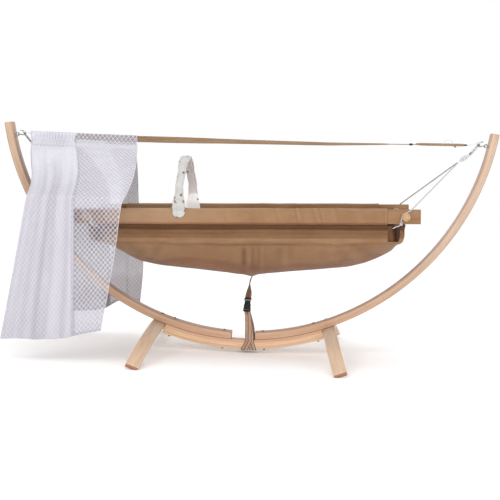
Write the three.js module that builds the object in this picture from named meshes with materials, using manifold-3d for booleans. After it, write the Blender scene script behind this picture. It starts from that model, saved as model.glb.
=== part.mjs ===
// Baby hammock with stand: bent laminated stand, canvas bed on two wooden bars
// hung by ropes from spring hooks, ridge strap, insect net, play arch and a
// buckled tether that limits the swing. Millimetres, +Z up, floor at Z = 0.
import * as THREE from "three";
import Module from "manifold-3d";

const wasm = await Module();
wasm.setup();

// ---------------------------------------------------------------- dimensions
const STOCK_W = 51;            // width of every laminated stick
const EDGE = 3;                // rounding of the sticks' long edges
const ARC_Z = 1063.5;          // height of the arms' arc centres
const ARC_X = 8;               // arc centre offset of each arm past the middle
const ARM_R = 980;             // concave face
const ARM_T = 30.5;            // laminated thickness
const ARM_START = 3.24;        // degrees from straight down
const ARM_END = 81.1;
const GAP = 0.3;               // working gap between touching pieces
const BEAM_R = 1047.5;         // underside of the bottom beam
const BEAM_END = 18.4;
const FOOT_TILT = 20.4;        // lean of the plane of each foot, degrees
const FOOT_R = 980;
const FOOT_T = 20;
const FOOT_HALF = 440;         // half of the foot's reach in Y
const BOLT_AT = [20.39, 17.29, 5.08]; // degrees out from the middle
const BOLT_R = 3, BOLT_HOLE = 3.3, HEAD_R = 7.5;
const EYE_X = 941.6, EYE_Z = 861.5, RING_R = 6.5, RING_WIRE = 2;
const HOOK_WIRE = 2.3, HOOK_U = 7.5, HOOK_UX = 916.5, HOOK_UZ = 868;
const LINK_L = 54, LINK_W = 15, LINK_WIRE = 2.2, GATE_L = 22, GATE_WIRE = 1.8;
const LINK_TOP = [916.1, 867.3], LINK_DIR = [-0.653, -0.757], LINK_TURN = 64;
const STRAP_W = 25, STRAP_T = 2;
const BED_X = 8, BED_Z = 567.5, BED_TILT = -0.027;
const BAR_HALF = 664, BAR_IN = 221.4, BAR_OUT = 239.4, BAR_H = 55;
const ROD_X = 607, ROD_R = 11, ROD_HALF = 262, ROD_HOLE = 11.5;
const KNOB_IN = 248, KNOB_R = 16.5;
const SLEEVE_X = 538, PANEL_X = 541;
const RIM_Z = -33.5, SEAM_Z = -97, TUB_Y = 226, TUB_X = 609, TUB_WALL = 4;
const ROPE_R = 2.5, WRAP_R = ROD_R + ROPE_R + 0.3, NECK_Y = 243.7;
const ARCH_X = -253, ARCH_Y = 246, ARCH_TOP = 225.7, ARCH_FOOT = 58, ARCH_W = 46, ARCH_T = 12;
const NET_WALL = 5;

// ------------------------------------------------------------------- helpers
const V = (x, y, z) => new THREE.Vector3(x, y, z);
const rad = (d) => (d * Math.PI) / 180;

function solid(verts, tris) {
  let vol = 0;
  for (const [a, b, c] of tris) vol += verts[a].dot(verts[b].clone().cross(verts[c]));
  const t = vol < 0 ? tris.map(([a, b, c]) => [a, c, b]) : tris;
  return new wasm.Manifold(new wasm.Mesh({
    numProp: 3,
    vertProperties: new Float32Array(verts.flatMap((p) => [p.x, p.y, p.z])),
    triVerts: new Uint32Array(t.flat()),
  }));
}

// skin over rings that all have the same number of points
function loft(rings, closed = false) {
  const n = rings[0].length, m = rings.length, verts = rings.flat(), tris = [];
  const id = (j, i) => (j % m) * n + (i % n);
  for (let j = 0; j < (closed ? m : m - 1); j++)
    for (let i = 0; i < n; i++)
      tris.push([id(j, i), id(j, i + 1), id(j + 1, i + 1)], [id(j, i), id(j + 1, i + 1), id(j + 1, i)]);
  if (!closed)
    for (let i = 1; i < n - 1; i++) {
      tris.push([id(0, 0), id(0, i + 1), id(0, i)]);
      tris.push([id(m - 1, 0), id(m - 1, i), id(m - 1, i + 1)]);
    }
  return solid(verts, tris);
}

// a sheet with thickness: two grids of the same size and the edges between them
function shell(outer, inner) {
  const m = outer.length, n = outer[0].length, verts = [...outer.flat(), ...inner.flat()], tris = [];
  const o = (j, i) => j * n + i, k = (j, i) => m * n + j * n + i;
  for (let j = 0; j < m - 1; j++)
    for (let i = 0; i < n - 1; i++) {
      tris.push([o(j, i), o(j, i + 1), o(j + 1, i + 1)], [o(j, i), o(j + 1, i + 1), o(j + 1, i)]);
      tris.push([k(j, i), k(j + 1, i + 1), k(j, i + 1)], [k(j, i), k(j + 1, i), k(j + 1, i + 1)]);
    }
  for (let j = 0; j < m - 1; j++) {
    tris.push([o(j, 0), o(j + 1, 0), k(j + 1, 0)], [o(j, 0), k(j + 1, 0), k(j, 0)]);
    tris.push([o(j, n - 1), k(j + 1, n - 1), o(j + 1, n - 1)], [o(j, n - 1), k(j, n - 1), k(j + 1, n - 1)]);
  }
  for (let i = 0; i < n - 1; i++) {
    tris.push([o(0, i), k(0, i + 1), o(0, i + 1)], [o(0, i), k(0, i), k(0, i + 1)]);
    tris.push([o(m - 1, i), o(m - 1, i + 1), k(m - 1, i + 1)], [o(m - 1, i), k(m - 1, i + 1), k(m - 1, i)]);
  }
  return solid(verts, tris);
}

const circle = (c, u, w, r, n) => Array.from({ length: n }, (_, i) => {
  const t = (i / n) * 2 * Math.PI;
  return c.clone().addScaledVector(u, r * Math.cos(t)).addScaledVector(w, r * Math.sin(t));
});

function frameFor(dir) {
  const d = dir.clone().normalize();
  const u = Math.abs(d.y) < 0.9 ? V(0, 1, 0) : V(1, 0, 0);
  u.addScaledVector(d, -u.dot(d)).normalize();
  return [u, d.clone().cross(u)];
}

// turned shape: pairs [distance along the axis, radius]
function turned(origin, dir, profile, n) {
  const d = dir.clone().normalize(), [u, w] = frameFor(d);
  return loft(profile.map(([s, r]) => circle(origin.clone().addScaledVector(d, s), u, w, r, n)));
}

// round wire or rope along points
function wire(pts, r, n) {
  const rings = [];
  let u = null;
  pts.forEach((p, i) => {
    const a = pts[Math.max(0, i - 1)], b = pts[Math.min(pts.length - 1, i + 1)];
    const t1 = p.clone().sub(a), t2 = b.clone().sub(p);
    if (t1.length() > 0) t1.normalize();
    if (t2.length() > 0) t2.normalize();
    const t = t1.add(t2).normalize();
    if (!u) u = frameFor(t)[0];
    u = u.clone().addScaledVector(t, -u.dot(t)).normalize();
    rings.push(circle(p, u, t.clone().cross(u), r, n));
  });
  return loft(rings);
}

function torus(c, u, w, R, r, N, n) {
  const k = u.clone().cross(w).normalize();
  return loft(Array.from({ length: N }, (_, j) => {
    const t = (j / N) * 2 * Math.PI;
    const e = u.clone().multiplyScalar(Math.cos(t)).addScaledVector(w, Math.sin(t));
    return circle(c.clone().addScaledVector(e, R), e, k, r, n);
  }), true);
}

// webbing along points: width direction for each point, mitred bends
function webbing(pts, width, w, t) {
  const rings = pts.map((p, i) => {
    const a = pts[Math.max(0, i - 1)], b = pts[Math.min(pts.length - 1, i + 1)];
    const t1 = p.clone().sub(a), t2 = b.clone().sub(p);
    if (i === 0) t1.copy(t2);
    if (i === pts.length - 1) t2.copy(t1);
    t1.normalize(); t2.normalize();
    const tan = t1.clone().add(t2).normalize();
    const W = width(i).clone().normalize();
    const N = W.clone().cross(tan).normalize();
    const k = 1 / Math.max(0.5, tan.dot(t1));
    const q = (s, v) => p.clone().addScaledVector(W, (s * w) / 2).addScaledVector(N, (v * k * t) / 2);
    return [q(-1, -1), q(1, -1), q(1, 1), q(-1, 1)];
  });
  return loft(rings);
}

const box = (x0, x1, y0, y1, z0, z1) => loft([
  [V(x0, y0, z0), V(x0, y1, z0), V(x0, y1, z1), V(x0, y0, z1)],
  [V(x1, y0, z0), V(x1, y1, z0), V(x1, y1, z1), V(x1, y0, z1)],
]);

// bevelled bar along X
function bar8(x0, x1, y0, y1, z0, z1, c) {
  const sec = (x) => [V(x, y0 + c, z0), V(x, y1 - c, z0), V(x, y1, z0 + c), V(x, y1, z1 - c),
    V(x, y1 - c, z1), V(x, y0 + c, z1), V(x, y0, z1 - c), V(x, y0, z0 + c)];
  return loft([sec(x0), sec(x1)]);
}

const table = (pts, x) => {
  if (x <= pts[0][0]) return pts[0][1];
  for (let i = 1; i < pts.length; i++)
    if (x <= pts[i][0]) {
      const [x0, y0] = pts[i - 1], [x1, y1] = pts[i];
      return y0 + ((y1 - y0) * (x - x0)) / (x1 - x0);
    }
  return pts[pts.length - 1][1];
};

const group = new THREE.Group();
group.name = "baby_hammock";
const M = (name, color, rough, metal = 0, extra = {}) =>
  Object.assign(new THREE.MeshStandardMaterial({ color, roughness: rough, metalness: metal, ...extra }), { name });
const mat = {
  beech: M("beech", 0xd7b28f, 0.55),
  honey: M("honey_wood", 0xb5854f, 0.5),
  knob: M("knob_wood", 0xc9a273, 0.5),
  canvas: M("canvas", 0xa88560, 0.95),
  webbing: M("webbing", 0x957350, 0.9),
  zinc: M("zinc", 0xb4b4b0, 0.35, 0.9),
  net: M("net", 0xe9e6ee, 0.9, 0, { transparent: true, opacity: 0.45, side: THREE.DoubleSide }),
  cotton: M("cotton", 0xe9e4da, 0.95),
  rope: M("rope", 0xd9d5cb, 0.9),
  black: M("black_plastic", 0x17171a, 0.4),
};

function add(name, man, material, matrix = null) {
  const mesh = man.getMesh();
  const g = new THREE.BufferGeometry();
  g.setAttribute("position", new THREE.BufferAttribute(new Float32Array(mesh.vertProperties), 3));
  g.setIndex(new THREE.BufferAttribute(new Uint32Array(mesh.triVerts), 1));
  if (matrix) g.applyMatrix4(matrix);
  g.computeVertexNormals();
  const o = new THREE.Mesh(g, material);
  o.name = name;
  group.add(o);
}

// --------------------------------------------------------------------- stand
const radial = (s, th) => V(s * Math.sin(rad(th)), 0, -Math.cos(rad(th)));
const armCentre = (s) => V(-s * ARC_X, 0, ARC_Z);
const onArc = (s, th, R) => armCentre(s).addScaledVector(radial(s, th), R);
const hole = (s, th, r0, r1, r) => turned(armCentre(s), radial(s, th), [[r0, r], [r1, r]], 10);

function section(point, r0, r1, h, c) {
  return [point(r0 + c, -h), point(r0, -h + c), point(r0, h - c), point(r0 + c, h),
    point(r1 - c, h), point(r1, h - c), point(r1, -h + c), point(r1 - c, -h)];
}

function arm(s) {
  const n = 28, rings = [];
  for (let i = 0; i <= n; i++) {
    const th = ARM_START + ((ARM_END - ARM_START) * i) / n;
    rings.push(section((r, y) => { const p = onArc(s, th, r); p.y = y; return p; },
      ARM_R, ARM_R + ARM_T, STOCK_W / 2, EDGE));
  }
  let m = loft(rings);
  for (const th of BOLT_AT) m = m.subtract(hole(s, th, ARM_R - 5, ARM_R + ARM_T + 5, BOLT_HOLE));
  return m.subtract(turned(V(s * 940, 0, EYE_Z), V(s, 0, 0), [[0, RING_WIRE + 0.4], [36, RING_WIRE + 0.4]], 12));
}
add("left_arm", arm(-1), mat.beech);
add("right_arm", arm(1), mat.beech);

{
  const rings = [], n = 18, top = ARM_R + ARM_T + GAP;
  const stations = [-BEAM_END, -BEAM_END + 0.35, -BEAM_END + 0.9];
  for (let i = 1; i < n; i++) stations.push(-BEAM_END + 0.9 + ((2 * BEAM_END - 1.8) * i) / n);
  stations.push(BEAM_END - 0.9, BEAM_END - 0.35, BEAM_END);
  for (const al of stations) {
    const sa = Math.abs(Math.sin(rad(al)));
    const rTop = -ARC_X * sa + Math.sqrt(ARC_X ** 2 * sa * sa - ARC_X ** 2 + top * top);
    const e = BEAM_END - Math.abs(al);
    const cut = e < 0.1 ? 11 : e < 0.5 ? 4 : 0;
    rings.push(section((r, y) => V(r * Math.sin(rad(al)), y, ARC_Z - r * Math.cos(rad(al))),
      rTop, BEAM_R - cut, STOCK_W / 2, EDGE));
  }
  let m = loft(rings);
  for (const s of [-1, 1]) for (const th of BOLT_AT.slice(1)) m = m.subtract(hole(s, th, 1000, 1060, BOLT_HOLE));
  add("bottom_beam", m, mat.beech);
}

function foot(s) {
  const A = onArc(s, FOOT_TILT, ARM_R + ARM_T + GAP);
  const U = V(s * Math.cos(rad(FOOT_TILT)), 0, Math.sin(rad(FOOT_TILT)));
  const N = V(s * Math.sin(rad(FOOT_TILT)), 0, -Math.cos(rad(FOOT_TILT)));
  const C = A.clone().addScaledVector(N, FOOT_R);
  const end = Math.asin(FOOT_HALF / FOOT_R), n = 18, rings = [];
  for (let i = 0; i <= n; i++) {
    const ph = -end + (2 * end * i) / n;
    rings.push(section((r, u) => C.clone().addScaledVector(N, -r * Math.cos(ph)).add(V(0, r * Math.sin(ph), 0)).addScaledVector(U, u),
      FOOT_R - FOOT_T, FOOT_R, STOCK_W / 2, EDGE));
  }
  let m = loft(rings).subtract(hole(s, BOLT_AT[0], 1000, 1050, BOLT_HOLE));
  return m.subtract(box(-600, 600, -600, 600, -60, 0));
}
add("left_cross_foot", foot(-1), mat.beech);
add("right_cross_foot", foot(1), mat.beech);

{
  const list = [[-1, 0], [-1, 1], [-1, 2], [1, 2], [1, 1], [1, 0]];
  list.forEach(([s, k], i) => {
    const th = BOLT_AT[k], o = armCentre(s), d = radial(s, th);
    const under = k === 0 ? ARM_R + ARM_T + GAP + FOOT_T : BEAM_R + ARC_X * Math.sin(rad(th));
    const h = ARM_R - 0.6, end = under + 5.6;
    add(`bolt_${i + 1}`, turned(o, d, [[h - 4.4, 2.4], [h - 3.7, 4.8], [h - 2.2, 6.8], [h - 0.8, HEAD_R],
      [h, HEAD_R], [h, BOLT_R], [end, BOLT_R]], 12), mat.zinc);
    const n0 = under + 0.3;
    const hex = turned(o, d, [[n0, 5.8], [n0 + 4.6, 5.8]], 6);
    const dome = turned(o, d, [[n0, 4.9], [n0 + 6.2, 4.7], [n0 + 8.3, 3.4], [n0 + 9.3, 1.4]], 6);
    add(`nut_${i + 1}`, hex.add(dome).subtract(turned(o, d, [[n0 - 1, BOLT_HOLE], [n0 + 6, BOLT_HOLE]], 8)), mat.zinc);
  });
}

// ------------------------------------------------------- hanging ironmongery
for (const s of [-1, 1]) {
  const side = s < 0 ? "left" : "right";
  const ring = torus(V(s * EYE_X, 0, EYE_Z), V(1, 0, 0), V(0, 0, 1), RING_R, RING_WIRE, 16, 6);
  const shank = turned(V(s * (EYE_X + RING_R), 0, EYE_Z), V(s, 0, 0), [[-0.5, RING_WIRE], [24, RING_WIRE], [27, 0.8]], 8);
  add(`${side}_screw_eye`, ring.add(shank), mat.zinc);

  const hx = EYE_X - 8.6;
  const pts = [[hx - RING_R, EYE_Z], [hx - RING_R - 2.5, EYE_Z - 0.7], [hx - RING_R - 5, EYE_Z - 1.5]];
  for (let a = -85; a >= -275; a -= 19) pts.push([HOOK_UX + HOOK_U * Math.cos(rad(a)), HOOK_UZ + HOOK_U * Math.sin(rad(a))]);
  pts.push([HOOK_UX + 6, HOOK_UZ + 8.6], [HOOK_UX + 15, HOOK_UZ + 11]);
  const wirePath = pts.map(([x, z]) => V(s * x, 0, z));
  add(`${side}_hook`, torus(V(s * hx, 0, EYE_Z), V(1, 0, 0), V(0, 1, 0), RING_R, RING_WIRE, 16, 6)
    .add(wire(wirePath, HOOK_WIRE, 7)), mat.zinc);

  // oval spring link, its gate on the near long side
  const a = V(s * LINK_DIR[0], 0, LINK_DIR[1]).normalize();
  const n1 = V(-s * LINK_DIR[1], 0, LINK_DIR[0]).normalize();
  const w = n1.clone().multiplyScalar(Math.cos(rad(LINK_TURN))).add(V(0, Math.sin(rad(LINK_TURN)), 0));
  const c = V(s * LINK_TOP[0], 0, LINK_TOP[1]).addScaledVector(a, LINK_L / 2);
  const r = LINK_W / 2, half = LINK_L / 2 - r;
  const at = (p, q) => c.clone().addScaledVector(a, p).addScaledVector(w, q);
  const path = [at(GATE_L / 2 + 1.2, -r), at(half - 2, -r)];
  for (let t = -90; t <= 90; t += 18) path.push(at(half + r * Math.cos(rad(t)), r * Math.sin(rad(t))));
  path.push(at(0, r));
  for (let t = 90; t <= 270; t += 18) path.push(at(-half + r * Math.cos(rad(t)), r * Math.sin(rad(t))));
  path.push(at(-GATE_L / 2 - 2.5, -r), at(-GATE_L / 2 - 0.4, -r));
  add(`${side}_carabiner`, wire(path, LINK_WIRE, 7), mat.zinc);
  add(`${side}_carabiner_gate`, turned(at(-GATE_L / 2, -r), a, [[0, GATE_WIRE], [GATE_L, GATE_WIRE]], 8), mat.zinc);

  // rope knot: eye round the link's lower bend, wound body below it
  const low = at(LINK_L / 2, 0);
  const b = V(-s * 0.832, 0, -0.555).normalize();
  const bp = b.clone().addScaledVector(w, -b.dot(w)).normalize();
  const bq = w.clone().cross(bp).normalize();
  const eye = torus(low, bp, bq, 5.5, ROPE_R, 14, 6);
  const body = turned(low, b, [[5.2, 3.2], [8, 6.2], [14, 8.2], [22, 9], [32, 9], [40, 8], [46, 6], [49.4, 3.4]], 10);
  add(`${side}_rope_knot`, eye.add(body), mat.rope);

  // cord loop from the strap's end round the hook
  const lp = [[868, 4.2, 862.5], [890, 4.2, 867], [905, 4.2, 871.3], [912, 4.2, 872.6], [916.3, 4.2, 872.2],
    [918.8, 3.3, 871.8], [920.2, 1.5, 871.4]];
  const full = [...lp, ...lp.slice().reverse().map(([x, y, z]) => [x, -y, z])];
  add(`${side}_strap_loop`, wire(full.map(([x, y, z]) => V(s * x, y, z)), 1.5, 6), mat.rope);
}

// --------------------------------------------------------------- ridge strap
const strapZ = (x) => table([[-883, 862], [-452, 854.5], [326, 854.5], [604, 859.6], [667, 861.3], [866, 862.2]], x);
const strapTurn = (x) => table([[-883, 0], [-700, 3], [-450, 15], [0, 47], [326, 61], [604, 88], [636, 90]], x);
{
  const xs = [];
  for (let i = 0; i <= 26; i++) xs.push(-883 + ((866 + 883) * i) / 26);
  add("ridge_strap", loft(xs.map((x) => {
    const t = rad(strapTurn(x)), z = strapZ(x);
    const W = V(0, Math.sin(t), Math.cos(t)), T = V(0, Math.cos(t), -Math.sin(t));
    const q = (a, b) => V(x, 0, z).addScaledVector(W, (a * STRAP_W) / 2).addScaledVector(T, (b * STRAP_T) / 2);
    return [q(-1, -1), q(1, -1), q(1, 1), q(-1, 1)];
  })), mat.webbing);
  const rx = [668, 720, 780, 820, 865.5];
  add("ridge_strap_return", loft(rx.map((x) => {
    const z = strapZ(x) + STRAP_T + 0.4;
    return [V(x, -12.5, z - 1), V(x, 12.5, z - 1), V(x, 12.5, z + 1), V(x, -12.5, z + 1)];
  })), mat.webbing);
  const z0 = strapZ(647);
  add("strap_slider", bar8(641, 653, -17, 17, z0 - 6, z0 + 6, 1.5)
    .subtract(box(630, 660, -14, 14, z0 - 3.8, z0 + 3.8)), mat.black);
}

// ----------------------------------------------------------------------- net
{
  // half profile from the ridge out: [y, z, inner y, inner z, left x, near right x, far right x, ridge share]
  const slope = (845.4 - 633.6) / (336 - 14.6), nl = Math.hypot(slope, 1), ny = slope / nl, nz = 1 / nl;
  const roof = (y) => [y, 845.4 - (y - 14.6) * slope, y - NET_WALL * ny, 845.4 - (y - 14.6) * slope - NET_WALL * nz];
  const rows = [
    [0, 882.5, 0, 877.5, -887, -452.5, -452.5, 1],
    [8, 880.5, 6, 875.8, -887, -452.5, -453, 1],
    [14.5, 873, 10, 869.5, -887, -452, -454, 1],
    [16.8, 860, 12, 860, -887, -451, -455, 1],
    [16.2, 850, 11.2, 850, -886, -450, -456, 1],
    [14.6, 845.4, 10.8, 842.2, -885, -449, -458, 1],
    [...roof(60), -869, -440, -466, 0.8],
    [...roof(130), -851, -431, -474, 0.5],
    [...roof(230), -817, -426, -482, 0.2],
    [...roof(336), -803, -437, -482, 0],
    [345, 621, 340, 619, -806, -446, -479, 0],
    [347, 0.64, 342, 0.64, -838, -466, -475, -1],
    [350, 0.3, 345, 0.3, -869, -491, -480, -1],
    [352, 0, 347, 0, -900, -517, -478, -1],
  ];
  const cols = [0, 0.16, 0.34, 0.52, 0.7, 0.86, 1];
  const bottom = (t, near) => near ? table([[0, 85], [0.55, 87], [0.8, 108], [1, 128]], t)
    : table([[0, 85], [0.5, 95], [0.62, 108], [0.76, 140], [1, 140]], t);
  const point = (row, t, side, inner) => {
    const [y, z, yi, zi, xl, xrn, xrf, share] = row;
    const x = xl + ((side < 0 ? xrn : xrf) - xl) * t;
    const drop = (-7.5 * (x + 887)) / 435;
    let Z = inner ? zi : z;
    if (share >= 0) Z += drop * share;
    else { const b = bottom(t, side < 0); Z = b + (621 - b) * z; }
    return V(x, side * (inner ? yi : y), Z);
  };
  const grid = (inner) => cols.map((t) => [
    ...rows.slice(1).reverse().map((r) => point(r, t, -1, inner)),
    point(rows[0], t, -1, inner),
    ...rows.slice(1).map((r) => point(r, t, 1, inner)),
  ]);
  add("mosquito_net", shell(grid(false), grid(true)), mat.net);
}

// ----------------------------------------------------------------------- bed
const bedMatrix = new THREE.Matrix4().makeRotationY(BED_TILT).setPosition(BED_X, 0, BED_Z);
const toBed = (p) => p.clone().applyMatrix4(bedMatrix.clone().invert());
const inBed = (name, man, material) => add(name, man, material, bedMatrix);

for (const [side, s] of [["near", -1], ["far", 1]]) {
  const y0 = Math.min(s * BAR_IN, s * BAR_OUT), y1 = Math.max(s * BAR_IN, s * BAR_OUT);
  let bar = bar8(-BAR_HALF, BAR_HALF, y0, y1, -BAR_H / 2, BAR_H / 2, 2);
  for (const x of [-ROD_X, ROD_X]) bar = bar.subtract(turned(V(x, 200 * s, 0), V(0, s, 0), [[0, ROD_HOLE], [60, ROD_HOLE]], 20));
  inBed(`${side}_side_bar`, bar, mat.honey);
  const sy0 = Math.min(s * (BAR_IN - 4), s * (BAR_OUT + 4)), sy1 = Math.max(s * (BAR_IN - 4), s * (BAR_OUT + 4));
  inBed(`${side}_side_sleeve`, bar8(-SLEEVE_X, SLEEVE_X, sy0, sy1, -31.5, 31.5, 5)
    .subtract(bar8(-SLEEVE_X - 5, SLEEVE_X + 5, sy0 + 2.5, sy1 - 2.5, -29, 29, 2.6)), mat.canvas);
}
for (const [side, s] of [["left", -1], ["right", 1]]) {
  const x = s * ROD_X;
  inBed(`${side}_spreader_rod`, turned(V(x, -ROD_HALF, 0), V(0, 1, 0),
    [[0, ROD_R - 1], [1, ROD_R], [2 * ROD_HALF - 1, ROD_R], [2 * ROD_HALF, ROD_R - 1]], 20), mat.honey);
  // canvas wrapped round the rod with its tail hanging down to the end panel
  const r0 = ROD_R + 1.5, r1 = ROD_R + 4;
  const wrap = turned(V(x, -213, 0), V(0, 1, 0), [[0, r1], [426, r1]], 20)
    .add(box(x - 1.25, x + 1.25, -213, 213, RIM_Z + 0.8, -r0))
    .subtract(turned(V(x, -220, 0), V(0, 1, 0), [[0, r0], [440, r0]], 20));
  inBed(`${side}_end_sleeve`, wrap, mat.canvas);
  for (const [near, t] of [["near", -1], ["far", 1]]) {
    const knob = turned(V(x, t * KNOB_IN, 0), V(0, t, 0), [[0, KNOB_R - 1.5], [1.5, KNOB_R], [11.5, KNOB_R], [14, KNOB_R - 2]], 20)
      .subtract(turned(V(x, t * (KNOB_IN - 5), 0), V(0, t, 0), [[0, ROD_R + 0.4], [30, ROD_R + 0.4]], 16));
    inBed(`${near}_${side}_knob`, knob, mat.knob);
    // rope from the big knot over the bar's edge to a noose round the rod's neck
    const K = toBed(V(s * 838.4, 0, 797));
    K.y = t * 3.4;
    const P = (dx, y, z) => V(x + s * dx, t * y, z);
    const ty = NECK_Y, ta = rad(117.5);
    const ropePath = [K, P(26.5, 240.2, 31.6), P(24, 242.5, 29.6), P(20.5, 243.3, 26),
      P(WRAP_R * Math.cos(ta), ty, WRAP_R * Math.sin(ta))];
    const noose = torus(V(x, t * ty, 0), V(1, 0, 0), V(0, 0, 1), WRAP_R + 0.2, ROPE_R, 16, 6);
    const fall = wire([P(-WRAP_R, ty, 1), P(-15.5, 244.6, -14), P(-16, 246, -22)], ROPE_R, 6);
    const knot = turned(P(-16.5, 246.2, -18.5), V(-s * 0.25, 0, -1), [[0, 3], [2, 4.8], [7, 5.6], [11.5, 4.6], [13.5, 2.6]], 8);
    const tail = wire([P(-18, 246.4, -28), P(-32, 247, -36), P(-48, 247.5, -43)], 2, 6);
    inBed(`${near}_${side}_rope`, wire(ropePath, ROPE_R, 6).add(noose).add(fall).add(knot).add(tail), mat.rope);
  }
}

{
  const floorZ = (x) => table([[-609, -104], [-590, -108.3], [-555, -117.7], [-520, -136.2], [-480, -163.2], [-432, -190.1],
    [-360, -206], [-280, -214.2], [-200, -222.9], [-120, -232], [-60, -239], [-15, -243.3], [13, -243.2], [40, -241.1],
    [80, -237.8], [150, -231.9], [230, -225.7], [310, -219.3], [400, -210], [465, -194.1], [525, -167.9], [575, -138.3],
    [592, -124], [609, -112]], x);
  const ys = [1, 0.965, 0.89, 0.76, 0.55, 0.28, 0.12, 0];
  const zAt = (x, f) => {
    const zb = floorZ(x);
    const pull = 12 * Math.exp(-((x - 13) ** 2) / (2 * 20 ** 2)) * Math.exp(-((f * TUB_Y) ** 2) / (2 * 30 ** 2));
    return zb + (SEAM_Z - zb) * f ** 3.2 - pull;
  };
  const ring = (x, wall, top) => {
    const Y = TUB_Y - wall;
    const half = ys.map((f) => [f * Y, zAt(x, f) + wall]);
    return [V(x, Y, top), ...half.map(([y, z]) => V(x, y, z)),
      ...half.slice(0, -1).reverse().map(([y, z]) => V(x, -y, z)), V(x, -Y, top)];
  };
  const xs = [-609, -590, -555, -520, -480, -432, -360, -280, -120, -60, -20, 13, 46, 80, 150, 310, 400, 465, 525, 575, 592, 609];
  const inX = (x) => Math.max(-TUB_X + TUB_WALL, Math.min(TUB_X - TUB_WALL, x));
  const out = loft(xs.map((x) => ring(x, 0, RIM_Z)));
  const inn = loft(xs.map((x) => ring(inX(x), TUB_WALL, RIM_Z + 12)));
  // the side panels are sewn on at the seam; only the end panels rise with the tub
  const tub = out.subtract(inn).subtract(box(-TUB_X + 19, TUB_X - 19, -240, 240, SEAM_Z, 0));
  for (const [side, s] of [["near", -1], ["far", 1]])
    inBed(`${side}_side_panel`, box(-PANEL_X, PANEL_X, Math.min(s * TUB_Y, s * (TUB_Y - TUB_WALL)), Math.max(s * TUB_Y, s * (TUB_Y - TUB_WALL)),
      SEAM_Z + GAP, RIM_Z), mat.canvas);
  inBed("bed_tub", tub, mat.canvas);
}

// ---------------------------------------------------------------- play arch
{
  const rings = [];
  const sec = (c, n, w, t, x = ARCH_X) => {
    const q = (a, b) => c.clone().add(V(a * w / 2, 0, 0)).addScaledVector(n, (b * t) / 2);
    return [q(-1, -0.5), q(-0.88, -1), q(0.88, -1), q(1, -0.5), q(1, 0.5), q(0.88, 1), q(-0.88, 1), q(-1, 0.5)];
  };
  const low = [[35.6, 11], [38.5, 24], [45, 38], [52, 44.6]];
  for (const [z, w] of low) rings.push(sec(V(ARCH_X, -ARCH_Y, z), V(0, -1, 0), w, z < 36 ? 7 : ARCH_T));
  const n = 26;
  // pointed oval: legs lean in to a rounded crown
  const archAt = (f) => {
    const t = Math.PI * (1 - f), c = Math.cos(t), k = 2 / 1.5;
    return [ARCH_Y * Math.sign(c) * Math.abs(c) ** k, ARCH_FOOT + (ARCH_TOP - ARCH_FOOT) * Math.max(0, Math.sin(t)) ** k];
  };
  const ARCH_WIDTHS = [[58, ARCH_W], [70, 42], [92, 36], [150, 36], [200, 42], [226, 44]];
  for (let i = 0; i <= n; i++) {
    const [y, z] = archAt(i / n), a = archAt(Math.max(0, i / n - 0.01)), b = archAt(Math.min(1, i / n + 0.01));
    const nrm = V(0, a[1] - b[1], b[0] - a[0]).normalize();
    if (i === 0 || i === n) nrm.set(0, Math.sign(y), 0);
    rings.push(sec(V(ARCH_X, y, z), nrm, table(ARCH_WIDTHS, z), ARCH_T));
  }
  for (const [z, w] of low.slice().reverse()) rings.push(sec(V(ARCH_X, ARCH_Y, z), V(0, 1, 0), w, z < 36 ? 7 : ARCH_T));
  inBed("play_arch", loft(rings), mat.cotton);
  for (const [side, s] of [["near", -1], ["far", 1]]) {
    const out = [[-24, 34.4], [24, 34.4], [24, 8], [18, -1], [8, -5], [-8, -5], [-18, -1], [-24, 8]];
    const tab = loft([243.8, 246.8].map((y) => out.map(([x, z]) => V(ARCH_X + x, s * y, z))));
    // the tab covers the end of the arch, goes over the sleeve and spreads into
    // a gathered flap on the inner side
    const cover = webbing([V(ARCH_X, s * 245.3, 10), V(ARCH_X, s * 245.3, 21), V(ARCH_X, s * 254.9, 31), V(ARCH_X, s * 254.9, 62)],
      () => V(1, 0, 0), 46, 2.4);
    const over = box(ARCH_X - 24, ARCH_X + 24, Math.min(s * 214.6, s * 245.8), Math.max(s * 214.6, s * 245.8), 32, 34.4);
    const flap = loft([[-6, -34, 34, 213.6], [33, -28, 27, 213.6], [70, -16, 22, 224.5]].map(([z, x0, x1, y]) =>
      [V(ARCH_X + x0, s * y, z), V(ARCH_X + x1, s * y, z), V(ARCH_X + x1, s * (y + 3), z), V(ARCH_X + x0, s * (y + 3), z)]));
    inBed(`${side}_arch_tab`, tab.add(cover).add(over).add(flap), mat.cotton);
  }
}

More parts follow.
